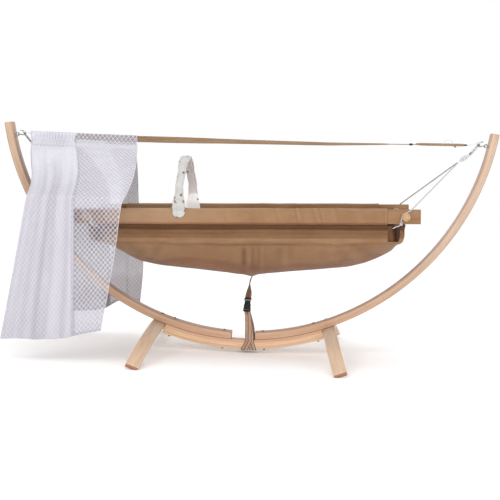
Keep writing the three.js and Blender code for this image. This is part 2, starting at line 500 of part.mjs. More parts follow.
// -------------------------------------------------------------------- tether
const TX = 12.3;               // buckle centre
{
  const X = V(1, 0, 0);
  // two turns round the beam that part below their crossing
  const turn = (top, low) => webbing([V(top, -26.9, 55.5), V(low, -26.9, 14.7), V(low, 26.9, 14.7), V(top, 26.9, 55.5)],
    () => X, STRAP_W, STRAP_T);
  add("tether_beam_wrap", turn(21, 5.6).add(turn(31, 39.9)), mat.webbing);
  const lower = [[26, -27.5, 66], [19, -17, 120], [TX, -8.7, 162], [TX, -7.7, 171], [TX, -5.6, 174.2],
    [TX, 5.6, 174.2], [TX, 7.7, 171], [TX, 8.7, 162], [19, 17, 120], [26, 27.5, 66]];
  add("tether_lower_loop", webbing(lower.map(([x, y, z]) => V(x, y, z)), () => X, STRAP_W, STRAP_T), mat.webbing);

  const block = (hx, hy, z0, z1, c) => {
    const s = (z) => [V(TX - hx + c, -hy, z), V(TX + hx - c, -hy, z), V(TX + hx, -hy + c, z), V(TX + hx, hy - c, z),
      V(TX + hx - c, hy, z), V(TX - hx + c, hy, z), V(TX - hx, hy - c, z), V(TX - hx, -hy + c, z)];
    return loft([s(z0), s(z1)]);
  };
  const female = block(15.5, 5.5, 167.4, 198.4, 2)
    .subtract(box(TX - 13, TX + 13, -10, 10, 171.4, 176.6))
    .subtract(box(TX - 12.4, TX + 12.4, -3.4, 3.4, 179.6, 205))
    .subtract(box(TX - 20, TX + 20, -3.4, 3.4, 182.5, 191.5));
  add("buckle_female", female, mat.black);
  const prong = (s) => loft([
    [V(TX + s * 4.4, -2.6, 200), V(TX + s * 9.6, -2.6, 200), V(TX + s * 9.6, 2.6, 200), V(TX + s * 4.4, 2.6, 200)],
    [V(TX + s * 6.4, -2.6, 186), V(TX + s * 11.6, -2.6, 190), V(TX + s * 11.6, 2.6, 190), V(TX + s * 6.4, 2.6, 186)],
    [V(TX + s * 7.6, -2.6, 181), V(TX + s * 9.8, -2.6, 181), V(TX + s * 9.8, 2.6, 181), V(TX + s * 7.6, 2.6, 181)],
  ]);
  const male = block(12.5, 4.2, 198.9, 213, 1.5)
    .add(block(15, 4.2, 211, 222.2, 1.5))
    .add(prong(-1)).add(prong(1))
    .subtract(box(TX - 13, TX + 13, -10, 10, 213.2, 217.8));
  add("buckle_male", male, mat.black);

  // closed eye of webbing through the slot
  const eyePts = [[0, 226], [4.6, 224.2], [6.2, 220], [6, 216.4], [3, 215.5], [-3, 215.5], [-6, 216.4], [-6.2, 220], [-4.6, 224.2]];
  const eye = loft(eyePts.map(([y, z], i) => {
    const n = eyePts.length, p = eyePts[(i + n - 1) % n], q = eyePts[(i + 1) % n];
    const N = V(0, -(q[1] - p[1]), q[0] - p[0]).normalize();
    const c = (u, v) => V(TX + u * 12.2, y, z).addScaledVector(N, v * 0.8);
    return [c(-1, -1), c(1, -1), c(1, 1), c(-1, 1)];
  }), true);
  const up = [];
  for (let i = 0; i <= 10; i++) {
    const f = i / 10, z = 225.9 + (312.2 - 225.9) * f;
    up.push([V(TX + (28 - TX) * f, 0, z), Math.min(1, Math.max(0, (f - 0.05) / 0.85)) * 90]);
  }
  const rise = webbing(up.map((u) => u[0]), (i) => V(Math.cos(rad(up[i][1])), Math.sin(rad(up[i][1])), 0), STRAP_W, STRAP_T);
  add("tether_bed_strap", eye.add(rise), mat.webbing);
}

export default group;
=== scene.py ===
import bpy
import bmesh
import math
import numpy as np
from mathutils import Matrix, Vector


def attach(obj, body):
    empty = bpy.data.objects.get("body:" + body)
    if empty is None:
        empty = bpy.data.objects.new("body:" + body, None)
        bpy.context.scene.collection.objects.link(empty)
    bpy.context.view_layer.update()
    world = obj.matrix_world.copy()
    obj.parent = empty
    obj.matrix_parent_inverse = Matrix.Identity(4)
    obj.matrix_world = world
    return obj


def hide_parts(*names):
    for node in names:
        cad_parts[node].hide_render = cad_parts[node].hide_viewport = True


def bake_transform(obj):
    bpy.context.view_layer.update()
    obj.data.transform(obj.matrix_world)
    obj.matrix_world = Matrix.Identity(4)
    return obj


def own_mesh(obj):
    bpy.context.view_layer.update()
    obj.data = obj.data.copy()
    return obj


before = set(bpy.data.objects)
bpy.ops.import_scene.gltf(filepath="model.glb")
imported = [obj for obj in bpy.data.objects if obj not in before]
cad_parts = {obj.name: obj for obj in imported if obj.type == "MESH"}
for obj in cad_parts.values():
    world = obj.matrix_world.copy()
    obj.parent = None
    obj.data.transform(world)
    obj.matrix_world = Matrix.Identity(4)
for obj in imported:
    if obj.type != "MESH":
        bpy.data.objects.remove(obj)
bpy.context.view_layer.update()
scene = bpy.context.scene
MM = 0.001

# ------------------------------------------------------------------ camera
YAW, PITCH, ROLL = 0.05591, 0.08954, 0.02688
fwd = Vector((-math.sin(YAW) * math.cos(PITCH), math.cos(YAW) * math.cos(PITCH), -math.sin(PITCH)))
r0 = Vector((math.cos(YAW), math.sin(YAW), 0))
u0 = r0.cross(fwd)
right = math.cos(ROLL) * r0 + math.sin(ROLL) * u0
up = -math.sin(ROLL) * r0 + math.cos(ROLL) * u0
cam = bpy.data.cameras.new("camera")
cam.lens, cam.sensor_width, cam.sensor_fit = 72.0, 36.0, "HORIZONTAL"
cam.clip_start, cam.clip_end = 0.05, 60
eye = bpy.data.objects.new("camera", cam)
M = Matrix((right, up, -fwd)).transposed().to_4x4()
M.translation = Vector((0.24283, -4.03346, 0.78140))
eye.matrix_world = M
scene.collection.objects.link(eye)
scene.camera = eye


# ----------------------------------------------------------------- helpers
def lin(c):
    out = []
    for v in c:
        v = v / 255
        out.append(v / 12.92 if v <= 0.04045 else ((v + 0.055) / 1.055) ** 2.4)
    return (*out, 1.0)


def A(*v):
    return np.array(v, float)


def unit(v):
    v = np.asarray(v, float)
    return v / max(np.linalg.norm(v), 1e-12)


def rrect(w, h, r, seg=3):
    pts = []
    for cx, cy, a0 in ((w / 2 - r, h / 2 - r, 0), (-w / 2 + r, h / 2 - r, 90), (-w / 2 + r, -h / 2 + r, 180), (w / 2 - r, -h / 2 + r, 270)):
        for k in range(seg + 1):
            a = math.radians(a0 + 90 * k / seg)
            pts.append((cx + r * math.cos(a), cy + r * math.sin(a)))
    return np.array(pts)


def ring(c, a, b, sec):
    return np.asarray(c)[None] + sec[:, :1] * np.asarray(a)[None] + sec[:, 1:2] * np.asarray(b)[None]


def loft(rings, closed=False, caps=True):
    n, m = len(rings[0]), len(rings)
    verts = np.concatenate(rings)
    faces = []
    for j in range(m if closed else m - 1):
        k = (j + 1) % m
        for i in range(n):
            q = (i + 1) % n
            faces.append((j * n + i, j * n + q, k * n + q, k * n + i))
    if caps and not closed:
        faces.append(tuple(range(n - 1, -1, -1)))
        faces.append(tuple((m - 1) * n + i for i in range(n)))
    return verts, faces


def volume(verts, faces):
    s = 0.0
    for f in faces:
        p = verts[f[0]]
        for i in range(1, len(f) - 1):
            s += np.dot(p, np.cross(verts[f[i]], verts[f[i + 1]]))
    return s / 6


def make(name, verts, faces, mats, body, lay=None, stands=(), flip=None, sharp=38, smooth=True, slot=None, caps_mat=False):
    """verts in mm"""
    verts = np.asarray(verts, float)
    if flip is None:
        flip = volume(verts, faces) < 0
    if flip:
        faces = [tuple(reversed(f)) for f in faces]
    me = bpy.data.meshes.new(name)
    me.from_pydata((verts * MM).tolist(), [], faces)
    if lay is not None:
        at = me.attributes.new("lay", "FLOAT_VECTOR", "POINT")
        at.data.foreach_set("vector", (np.asarray(lay, float) * MM).ravel())
    for m in (mats if isinstance(mats, (list, tuple)) else [mats]):
        me.materials.append(m)
    if smooth:
        me.polygons.foreach_set("use_smooth", [True] * len(me.polygons))
        if sharp:
            me.set_sharp_from_angle(angle=math.radians(sharp))
    if caps_mat:
        for p in me.polygons:
            if len(p.vertices) > 4:
                p.material_index = 1
    me.update()
    ob = bpy.data.objects.new(name, me)
    scene.collection.objects.link(ob)
    if body:
        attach(ob, body)
    if stands:
        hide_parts(*stands)
    return ob


class Bag:
    """collects several shapes into one mesh"""

    def __init__(self):
        self.v, self.f, self.l, self.n = [], [], [], 0

    def add(self, verts, faces, lay=None, close=True):
        verts = np.asarray(verts, float)
        if close and volume(verts, faces) < 0:
            faces = [tuple(reversed(f)) for f in faces]
        self.v.append(verts)
        self.l.append(np.asarray(lay, float) if lay is not None else verts.copy())
        self.f += [tuple(i + self.n for i in f) for f in faces]
        self.n += len(verts)

    def make(self, name, mats, body, **kw):
        return make(name, np.concatenate(self.v), self.f, mats, body, lay=np.concatenate(self.l), flip=False, **kw)


def spline(points, step, closed=False):
    """even points along a smooth curve through the given ones"""
    P = np.asarray(points, float)
    n = len(P)
    out = []
    idx = range(n if closed else n - 1)
    for i in idx:
        p0 = P[(i - 1) % n] if closed or i > 0 else 2 * P[0] - P[1]
        p1, p2 = P[i], P[(i + 1) % n]
        p3 = P[(i + 2) % n] if closed or i + 2 < n else 2 * P[-1] - P[-2]
        d = [max(np.linalg.norm(b - a), 1e-6) ** 0.5 for a, b in ((p0, p1), (p1, p2), (p2, p3))]
        t0, t1 = 0, d[0]
        t2, t3 = t1 + d[1], t1 + d[1] + d[2]
        for t in np.linspace(t1, t2, 24, endpoint=False):
            a1 = (t1 - t) / (t1 - t0) * p0 + (t - t0) / (t1 - t0) * p1
            a2 = (t2 - t) / (t2 - t1) * p1 + (t - t1) / (t2 - t1) * p2
            a3 = (t3 - t) / (t3 - t2) * p2 + (t - t2) / (t3 - t2) * p3
            b1 = (t2 - t) / (t2 - t0) * a1 + (t - t0) / (t2 - t0) * a2
            b2 = (t3 - t) / (t3 - t1) * a2 + (t - t1) / (t3 - t1) * a3
            out.append((t2 - t) / (t2 - t1) * b1 + (t - t1) / (t2 - t1) * b2)
    out.append(P[0] if closed else P[-1])
    out = np.array(out)
    L = np.concatenate([[0], np.cumsum(np.linalg.norm(np.diff(out, axis=0), axis=1))])
    m = max(2, int(round(L[-1] / step)) + 1)
    s = np.linspace(0, L[-1], m)
    q = np.stack([np.interp(s, L, out[:, k]) for k in range(3)], 1)
    return q[:-1] if closed else q


def frames(P, closed=False, hint=None):
    """tangent and two turning-free normals at each point"""
    P = np.asarray(P, float)
    n = len(P)
    if closed:
        T = np.roll(P, -1, 0) - np.roll(P, 1, 0)
    else:
        T = np.gradient(P, axis=0)
    T /= np.maximum(np.linalg.norm(T, axis=1, keepdims=True), 1e-9)
    u = np.asarray(hint, float) if hint is not None else (A(0, 1, 0) if abs(T[0][1]) < 0.9 else A(1, 0, 0))
    U, W = [], []
    for t in T:
        u = unit(u - np.dot(u, t) * t)
        U.append(u)
        W.append(np.cross(t, u))
    return T, np.array(U), np.array(W)


def tube(P, r, n=10, closed=False, lobes=0, pitch=20.0, depth=0.12, caps=True, hint=None):
    """round wire, or a laid rope when lobes is set"""
    P = np.asarray(P, float)
    T, U, W = frames(P, closed, hint)
    rad = np.broadcast_to(np.asarray(r, float), (len(P),))
    S = np.concatenate([[0], np.cumsum(np.linalg.norm(np.diff(P, axis=0), axis=1))])
    rings, lay = [], []
    for j in range(len(P)):
        a = np.arange(n) / n * 2 * np.pi
        tw = 2 * np.pi * S[j] / pitch
        rr = rad[j] * (1 + depth * (np.abs(np.cos(lobes * (a - tw) / 2)) - 0.6)) if lobes else np.full(n, rad[j])
        rings.append(P[j] + rr[:, None] * (np.cos(a)[:, None] * U[j] + np.sin(a)[:, None] * W[j]))
        lay.append(np.stack([np.full(n, S[j]), np.cos(a) * rad[j], np.sin(a) * rad[j]], 1))
    v, f = loft(rings, closed, caps)
    return v, f, np.concatenate(lay)


def turned(o, d, prof, n=32, hexed=()):
    d = unit(d)
    u = A(0, 1, 0) if abs(d[1]) < 0.9 else A(1, 0, 0)
    u = unit(u - np.dot(u, d) * d)
    w = np.cross(d, u)
    rings = []
    for k, (s, r) in enumerate(prof):
        a = np.arange(n) / n * 2 * np.pi
        rr = np.full(n, float(r))
        if k in hexed:
            rr = r * math.cos(math.pi / 6) / np.cos((a % (math.pi / 3)) - math.pi / 6)
        rings.append(np.asarray(o) + d * s + rr[:, None] * (np.cos(a)[:, None] * u + np.sin(a)[:, None] * w))
    return loft(rings)


def fnoise(p, seed=0, octaves=3):
    """smooth value noise on (N,3) points, -1..1, repeatable"""
    p = np.asarray(p, float)
    out, amp, tot = np.zeros(len(p)), 1.0, 0.0
    for o in range(octaves):
        q = p * 2 ** o + 17.3 * (seed + o)
        i = np.floor(q).astype(np.int64)
        f = q - i
        f = f * f * (3 - 2 * f)
        acc = 0
        for dx in (0, 1):
            for dy in (0, 1):
                for dz in (0, 1):
                    h = ((i[:, 0] + dx) * 374761393 + (i[:, 1] + dy) * 668265263 + (i[:, 2] + dz) * 2147483647 + seed * 1274126177) & 0xFFFFFFFF
                    h = ((h ^ (h >> 13)) * 1274126177) & 0xFFFFFFFF
                    h = (h ^ (h >> 16)) & 0xFFFF
                    w = (f[:, 0] if dx else 1 - f[:, 0]) * (f[:, 1] if dy else 1 - f[:, 1]) * (f[:, 2] if dz else 1 - f[:, 2])
                    acc = acc + w * (h / 32767.5 - 1)
        out += amp * acc
        tot += amp
        amp *= 0.5
    return out / tot


def interp(x, pts):
    pts = np.asarray(pts, float)
    return np.interp(x, pts[:, 0], pts[:, 1])


def smooth(x, a, b):
    t = np.clip((np.asarray(x, float) - a) / (b - a), 0, 1)
    return t * t * (3 - 2 * t)


# --------------------------------------------------------------- materials
class Mat:
    def __init__(self, name, rough=0.6, metal=0.0, spec=None, sheen=None):
        self.m = bpy.data.materials.new(name)
        self.m.use_nodes = True
        self.t = self.m.node_tree
        self.b = next(n for n in self.t.nodes if n.type == "BSDF_PRINCIPLED")
        self.b.inputs["Roughness"].default_value = rough
        self.b.inputs["Metallic"].default_value = metal
        if spec is not None:
            self.b.inputs["Specular IOR Level"].default_value = spec
        if sheen:
            self.b.inputs["Sheen Weight"].default_value = sheen
            self.b.inputs["Sheen Roughness"].default_value = 0.5
        self._lay = None

    def n(self, kind, **kw):
        node = self.t.nodes.new(kind)
        for k, v in kw.items():
            if k in ("operation", "data_type", "blend_type", "noise_dimensions", "attribute_name", "wave_type", "bands_direction", "wave_profile", "feature", "interpolation_type", "clamp", "use_clamp", "voronoi_dimensions", "distance"):
                setattr(node, k, v)
            else:
                node.inputs[k.replace("_", " ")].default_value = v
        return node

    def lk(self, a, b):
        self.t.links.new(a, b)

    def lay(self):
        if self._lay is None:
            self._lay = self.n("ShaderNodeAttribute", attribute_name="lay")
            self._xyz = self.n("ShaderNodeSeparateXYZ")
            self.lk(self._lay.outputs["Vector"], self._xyz.inputs[0])
        return self._lay.outputs["Vector"]

    def axis(self, i):
        self.lay()
        return self._xyz.outputs[i]

    def math(self, op, a, b=None, c=None, clamp=False):
        node = self.n("ShaderNodeMath", operation=op, use_clamp=clamp)
        for k, v in enumerate((a, b, c)):
            if v is None:
                continue
            if isinstance(v, (int, float)):
                node.inputs[k].default_value = v
            else:
                self.lk(v, node.inputs[k])
        return node.outputs[0]

    def scaled(self, sx, sy, sz, src=None):
        node = self.n("ShaderNodeVectorMath", operation="MULTIPLY")
        self.lk(src or self.lay(), node.inputs[0])
        node.inputs[1].default_value = (sx, sy, sz)
        return node.outputs[0]

    def noise(self, vec, scale=1.0, detail=3.0, rough=0.55, dist=0.0):
        node = self.n("ShaderNodeTexNoise", Scale=scale, Detail=detail, Roughness=rough, Distortion=dist)
        self.lk(vec, node.inputs["Vector"])
        return node.outputs["Fac"]

    def ramp(self, fac, stops, mode="LINEAR"):
        node = self.t.nodes.new("ShaderNodeValToRGB")
        node.color_ramp.interpolation = mode
        els = node.color_ramp.elements
        while len(els) < len(stops):
            els.new(0.5)
        for e, (p, c) in zip(els, stops):
            e.position = p
            e.color = c if len(c) == 4 else (*c, 1)
        self.lk(fac, node.inputs[0])
        return node.outputs["Color"]

    def mix(self, fac, a, b, mode="MIX"):
        node = self.n("ShaderNodeMix", data_type="RGBA", blend_type=mode)
        for sock, v in ((node.inputs[0], fac), (node.inputs[6], a), (node.inputs[7], b)):
            if isinstance(v, (int, float, tuple)):
                sock.default_value = v
            else:
                self.lk(v, sock)
        return node.outputs[2]

    def value(self, fac, lo, hi, f0=0.0, f1=1.0):
        node = self.n("ShaderNodeMapRange")
        node.inputs["From Min"].default_value = f0
        node.inputs["From Max"].default_value = f1
        node.inputs["To Min"].default_value = lo
        node.inputs["To Max"].default_value = hi
        self.lk(fac, node.inputs["Value"])
        return node.outputs[0]

    def colour(self, c):
        self.lk(c, self.b.inputs["Base Color"])

    def rough(self, r):
        self.lk(r, self.b.inputs["Roughness"])

    def bump(self, h, strength=0.3, dist=0.001):
        node = self.n("ShaderNodeBump")
        node.inputs["Strength"].default_value = strength
        node.inputs["Distance"].default_value = dist
        self.lk(h, node.inputs["Height"])
        self.lk(node.outputs[0], self.b.inputs["Normal"])


def wood(name, tones, ply=None, line=0.72, streak=0.9, rough=0.42, seed=0.0, coarse=1.0, painted_low_shade=None):
    """lay: x along the stick, y across it, z through its plies"""
    m = Mat(name, rough=rough, spec=0.4)
    if ply:
        zi = m.math("DIVIDE", m.math("ADD", m.axis(2), 0.4 * ply + seed * ply * 7), ply)
        idx = m.math("FLOOR", zi)
        wn = m.n("ShaderNodeTexWhiteNoise", noise_dimensions="1D")
        m.lk(idx, wn.inputs["W"])
        stops = [(i / len(tones), lin(c)) for i, c in enumerate(tones)]
        base = m.ramp(wn.outputs["Value"], stops, "CONSTANT")
        shift = m.n("ShaderNodeCombineXYZ")
        m.lk(m.math("MULTIPLY", idx, 3.7), shift.inputs[0])
        add = m.n("ShaderNodeVectorMath", operation="ADD")
        m.lk(m.scaled(5 * coarse, 60 * coarse, 60 * coarse), add.inputs[0])
        m.lk(shift.outputs[0], add.inputs[1])
        gvec = add.outputs[0]
    else:
        base = m.ramp(m.noise(m.scaled(2.5, 14, 14), 1.0, 2), [(0.35, lin(tones[0])), (0.65, lin(tones[-1]))])
        gvec = m.scaled(5 * coarse, 60 * coarse, 60 * coarse)
    g1 = m.noise(gvec, 1.0, 4, 0.6, 0.6)
    g2 = m.noise(m.scaled(24, 900, 900), 1.0, 2, 0.5)
    g3 = m.noise(m.scaled(1.3, 3, 3), 1.0, 2, 0.5)
    col = m.mix(m.value(g1, 0.0, 0.34, 0.42, 0.72), base, (0.52, 0.30, 0.17, 1), "MULTIPLY")
    col = m.mix(m.value(g2, 0.0, 0.5, 0.60, 0.74), col, (0.55, 0.38, 0.26, 1), "MULTIPLY")
    col = m.mix(m.value(g3, 0.0, 0.28, 0.35, 0.7), col, (0.84, 0.70, 0.60, 1), "MULTIPLY")
    if ply:
        fr = m.math("FRACT", zi)
        edge = m.math("MINIMUM", fr, m.math("SUBTRACT", 1.0, fr))
        mask = m.value(edge, 1 - line, 0.0, 0.0, 0.085)
        mask = m.math("MULTIPLY", mask, 1.0, clamp=True)
        col = m.mix(mask, col, (0.30, 0.16, 0.09, 1), "MULTIPLY")
    if painted_low_shade:
        # painted shade: the wood is darkened and warmed towards the foot of the stand, by height
        place = m.n("ShaderNodeTexCoord")
        axes = m.n("ShaderNodeSeparateXYZ")
        m.lk(place.outputs["Object"], axes.inputs[0])
        col = m.mix(m.value(axes.outputs[2], 1, 0, 0.12, 0.42), col, painted_low_shade, "MULTIPLY")
    m.colour(col)
    m.rough(m.value(g1, rough - 0.06, rough + 0.1, 0.3, 0.7))
    m.bump(m.math("ADD", m.math("MULTIPLY", g2, 0.5), g1), 0.10, 0.0006)
    m.b.inputs["Coat Weight"].default_value = 0.12
    m.b.inputs["Coat Roughness"].default_value = 0.35
    return m.m


BEECH = [(188, 164, 143), (181, 153, 131), (193, 171, 148), (174, 144, 124), (185, 159, 139), (189, 164, 137)]
m_arm = wood("beech_laminated", BEECH, ply=0.0061, line=0.55, painted_low_shade=(1.0, 0.87, 0.76, 1))
m_beam = wood("beech_beam", [(211, 175, 143), (199, 158, 128), (214, 182, 147), (194, 150, 120), (206, 167, 137)], ply=0.0074, line=0.45, seed=0.31)
m_foot = wood("beech_foot", [(212, 190, 167), (205, 181, 157), (217, 197, 175)], ply=0.0052, line=0.35, seed=0.57)
m_end = wood("beech_end_grain", [(154, 110, 88), (162, 118, 96), (147, 102, 82)], ply=0.0052, line=0.5, seed=0.7, coarse=3)
m_bar = wood("honey_wood", [(138, 100, 56), (125, 86, 46)], rough=0.46)
m_knob = wood("knob_wood", [(178, 148, 111), (167, 134, 99)], rough=0.5, coarse=2)


def canvas(name, c1, c2, thread=0.0011):
    m = Mat(name, rough=0.93, spec=0.2, sheen=0.15)
    x, y = m.axis(0), m.axis(1)
    k = 2 * math.pi / thread
    wx = m.math("SINE", m.math("MULTIPLY", x, k))
    wy = m.math("SINE", m.math("MULTIPLY", y, k))
    weave = m.math("MULTIPLY", wx, wy)
    sl = m.noise(m.scaled(18, 700, 700), 1, 2)
    sl2 = m.noise(m.scaled(700, 18, 18), 1, 2)
    big = m.noise(m.scaled(7, 7, 7), 1, 4, 0.6)
    col = m.mix(m.value(big, 0, 1, 0.36, 0.66), lin(c1), lin(c2))
    col = m.mix(m.value(sl, 0, 0.32, 0.45, 0.72), col, (0.62, 0.52, 0.44, 1), "MULTIPLY")
    col = m.mix(m.value(sl2, 0, 0.24, 0.45, 0.72), col, (0.62, 0.52, 0.44, 1), "MULTIPLY")
    col = m.mix(m.value(weave, 0.16, 0.0, -1, 1), col, (0.45, 0.34, 0.26, 1), "MULTIPLY")
    # painted shade: the 'shade' attribute darkens the canvas, pinkish up to 1 and deep brown from 1 to 4, on
    # undersides, under the sleeves and in the corner tucks
    tint = m.n("ShaderNodeAttribute", attribute_name="shade")
    col = m.mix(m.math("MULTIPLY", tint.outputs["Fac"], 1.0, clamp=True), col, (0.80, 0.60, 0.53, 1), "MULTIPLY")
    col = m.mix(m.value(tint.outputs["Fac"], 0, 1, 1.0, 4.0), col, (0.30, 0.25, 0.21, 1), "MULTIPLY")
    # painted shade in creases and hollows from the 'crease' attribute; where it is negative, a painted highlight on
    # ridges and tops
    crease_shade = m.n("ShaderNodeAttribute", attribute_name="crease")
    col = m.mix(m.math("MULTIPLY", crease_shade.outputs["Fac"], 1.0, clamp=True), col, (0.40, 0.35, 0.29, 1), "MULTIPLY")
    col = m.mix(m.math("MULTIPLY", crease_shade.outputs["Fac"], -1.0, clamp=True), col, (0.16, 0.13, 0.10, 1), "ADD")
    m.colour(col)
    m.bump(m.math("ADD", m.math("MULTIPLY", weave, 0.5), m.math("MULTIPLY", sl, 1.2)), 0.35, 0.0005)
    return m.m


m_canvas = canvas("canvas", (149, 118, 88), (139, 107, 78))
m_hem = canvas("canvas_hem", (92, 70, 50), (80, 60, 42))


def webbing(name, c1, c2, stripe, lines=((0.0, 0.0011), (0.0062, 0.0009), (0.0112, 0.0007))):
    """lay: x along, y across"""
    m = Mat(name, rough=0.85, spec=0.25, sheen=0.1)
    x, y = m.axis(0), m.axis(1)
    ay = m.math("ABSOLUTE", y)
    zig = m.math("PINGPONG", y, 0.0021)
    rib = m.math("SINE", m.math("MULTIPLY", m.math("ADD", x, zig), 2 * math.pi / 0.0021))
    n1 = m.noise(m.scaled(60, 500, 500), 1, 3)
    n2 = m.noise(m.scaled(6, 30, 30), 1, 2)
    col = m.mix(m.value(n2, 0, 1, 0.35, 0.65), lin(c1), lin(c2))
    for c, w in lines:
        d = m.math("ABSOLUTE", m.math("SUBTRACT", ay, c))
        col = m.mix(m.value(d, 0.85, 0.0, w * 0.6, w * 1.4), col, lin(stripe))
    col = m.mix(m.value(rib, 0.30, 0.0, -1, 0.6), col, (0.36, 0.25, 0.18, 1), "MULTIPLY")
    col = m.mix(m.value(n1, 0.0, 0.35, 0.4, 0.7), col, (0.55, 0.42, 0.32, 1), "MULTIPLY")
    m.colour(col)
    m.bump(m.math("ADD", rib, m.math("MULTIPLY", n1, 0.6)), 0.5, 0.0004)
    return m.m


m_web = webbing("webbing", (164, 137, 109), (150, 122, 95), (100, 74, 52))
TETHER_LINES = ((0.0, 0.0021), (0.0058, 0.0007), (0.0120, 0.0019))
m_web_low = webbing("tether_webbing", (202, 174, 151), (186, 154, 132), (88, 62, 48), TETHER_LINES)
m_web_up = webbing("bed_strap_webbing", (142, 106, 78), (126, 92, 66), (72, 48, 32), TETHER_LINES)
m_web_dark = webbing("webbing_whipping", (84, 64, 48), (70, 52, 38), (48, 34, 24))


def zinc():
    m = Mat("zinc", rough=0.3, metal=1.0)
    n1 = m.noise(m.scaled(130, 130, 130), 1, 2)
    n2 = m.noise(m.scaled(900, 900, 900), 1, 2)
    # painted reflection: a coarse noise swings the base colour between near black and mid grey, standing in for the
    # dark and bright reflections on the zinc
    m.colour(m.mix(m.value(n1, 0, 1, 0.35, 0.65), (0.09, 0.092, 0.088, 1), (0.50, 0.51, 0.50, 1)))
    m.rough(m.value(n1, 0.22, 0.42, 0.3, 0.7))
    m.bump(n2, 0.05, 0.0002)
    return m.m


m_zinc = zinc()


def plastic():
    m = Mat("black_plastic", rough=0.36, spec=0.16)
    n1 = m.noise(m.scaled(2600, 2600, 2600), 1, 2)
    n2 = m.noise(m.scaled(90, 90, 90), 1, 3)
    m.colour(m.mix(m.value(n2, 0, 1, 0.35, 0.65), (0.004, 0.004, 0.0045, 1), (0.009, 0.009, 0.010, 1)))
    m.rough(m.value(n2, 0.28, 0.5, 0.3, 0.7))
    m.bump(n1, 0.12, 0.0002)
    return m.m


m_black = plastic()


def cord_mat(name, c1, c2, fleck=None):
    m = Mat(name, rough=0.8, spec=0.25, sheen=0.1)
    x = m.axis(0)
    n1 = m.noise(m.scaled(500, 500, 500), 1, 3)
    n2 = m.noise(m.scaled(60, 60, 60), 1, 2)
    col = m.mix(m.value(n1, 0, 1, 0.35, 0.65), lin(c1), lin(c2))
    if fleck:
        w = m.noise(m.scaled(150, 260, 260), 1, 1)
        col = m.mix(m.value(w, 0, 1, 0.60, 0.64), col, lin(fleck))
    m.colour(col)
    m.bump(m.math("ADD", n1, n2), 0.3, 0.0004)
    return m.m


m_rope = cord_mat("rope_white", (214, 214, 216), (190, 190, 194))
m_rope_near = cord_mat("rope_pale", (184, 184, 189), (158, 158, 165))
m_rope_far = cord_mat("rope_grey", (170, 167, 166), (146, 143, 142), fleck=(104, 94, 92))


def cotton():
    """white cotton with a scatter of small rust and brown leaf flecks"""
    m = Mat("printed_cotton", rough=0.9, spec=0.2, sheen=0.12)
    n1 = m.noise(m.scaled(900, 900, 900), 1, 2)
    big = m.noise(m.scaled(25, 25, 25), 1, 3)
    face = m.n("ShaderNodeAttribute", attribute_name="painted_inner_light")
    col = m.mix(m.value(big, 0, 1, 0.36, 0.66), lin((184, 183, 180)), lin((172, 171, 169)))
    # painted light: where the inner-light attribute is set, on the arch's inner face and the gathered tab flaps, the
    # colour is lifted to near white
    col = m.mix(m.math("MULTIPLY", face.outputs["Fac"], 1.0, clamp=True), col, lin((248, 246, 245)))
    vor = m.n("ShaderNodeTexVoronoi", voronoi_dimensions="2D", feature="F1", Scale=1.0, Randomness=0.8)
    flat = m.n("ShaderNodeCombineXYZ")
    m.lk(m.math("MULTIPLY", m.axis(0), 1 / 0.030), flat.inputs[0])
    m.lk(m.math("MULTIPLY", m.axis(1), 1 / 0.027), flat.inputs[1])
    warp = m.n("ShaderNodeVectorMath", operation="ADD")
    wn = m.n("ShaderNodeTexNoise", Scale=3.2, Detail=2.0)
    m.lk(flat.outputs[0], wn.inputs["Vector"])
    half = m.n("ShaderNodeVectorMath", operation="MULTIPLY")
    m.lk(wn.outputs["Color"], half.inputs[0])
    half.inputs[1].default_value = (0.55, 0.55, 0)
    m.lk(flat.outputs[0], warp.inputs[0])
    m.lk(half.outputs[0], warp.inputs[1])
    m.lk(warp.outputs[0], vor.inputs["Vector"])
    pick = m.n("ShaderNodeSeparateColor")
    m.lk(vor.outputs["Color"], pick.inputs[0])
    size = m.value(pick.outputs[0], 0.02, 0.24, 0.25, 1.0)
    dot = m.math("LESS_THAN", vor.outputs["Distance"], size)
    keep = m.math("GREATER_THAN", pick.outputs[1], 0.45)
    mask = m.math("MULTIPLY", dot, keep)
    ink = m.ramp(pick.outputs[2], [(0.0, lin((132, 84, 62))), (0.35, lin((176, 128, 88))), (0.6, lin((98, 62, 62)))], "CONSTANT")
    col = m.mix(m.math("MULTIPLY", mask, 0.82), col, ink)
    m.colour(col)
    m.bump(m.math("ADD", n1, m.math("MULTIPLY", big, 2.0)), 0.25, 0.0008)
    return m.m


m_cotton = cotton()


def thread(name, c1, c2):
    m = Mat(name, rough=0.85, spec=0.2)
    n1 = m.noise(m.scaled(40, 40, 40), 1, 2)
    m.colour(m.mix(m.value(n1, 0, 1, 0.3, 0.7), lin(c1), lin(c2)))
    return m.m


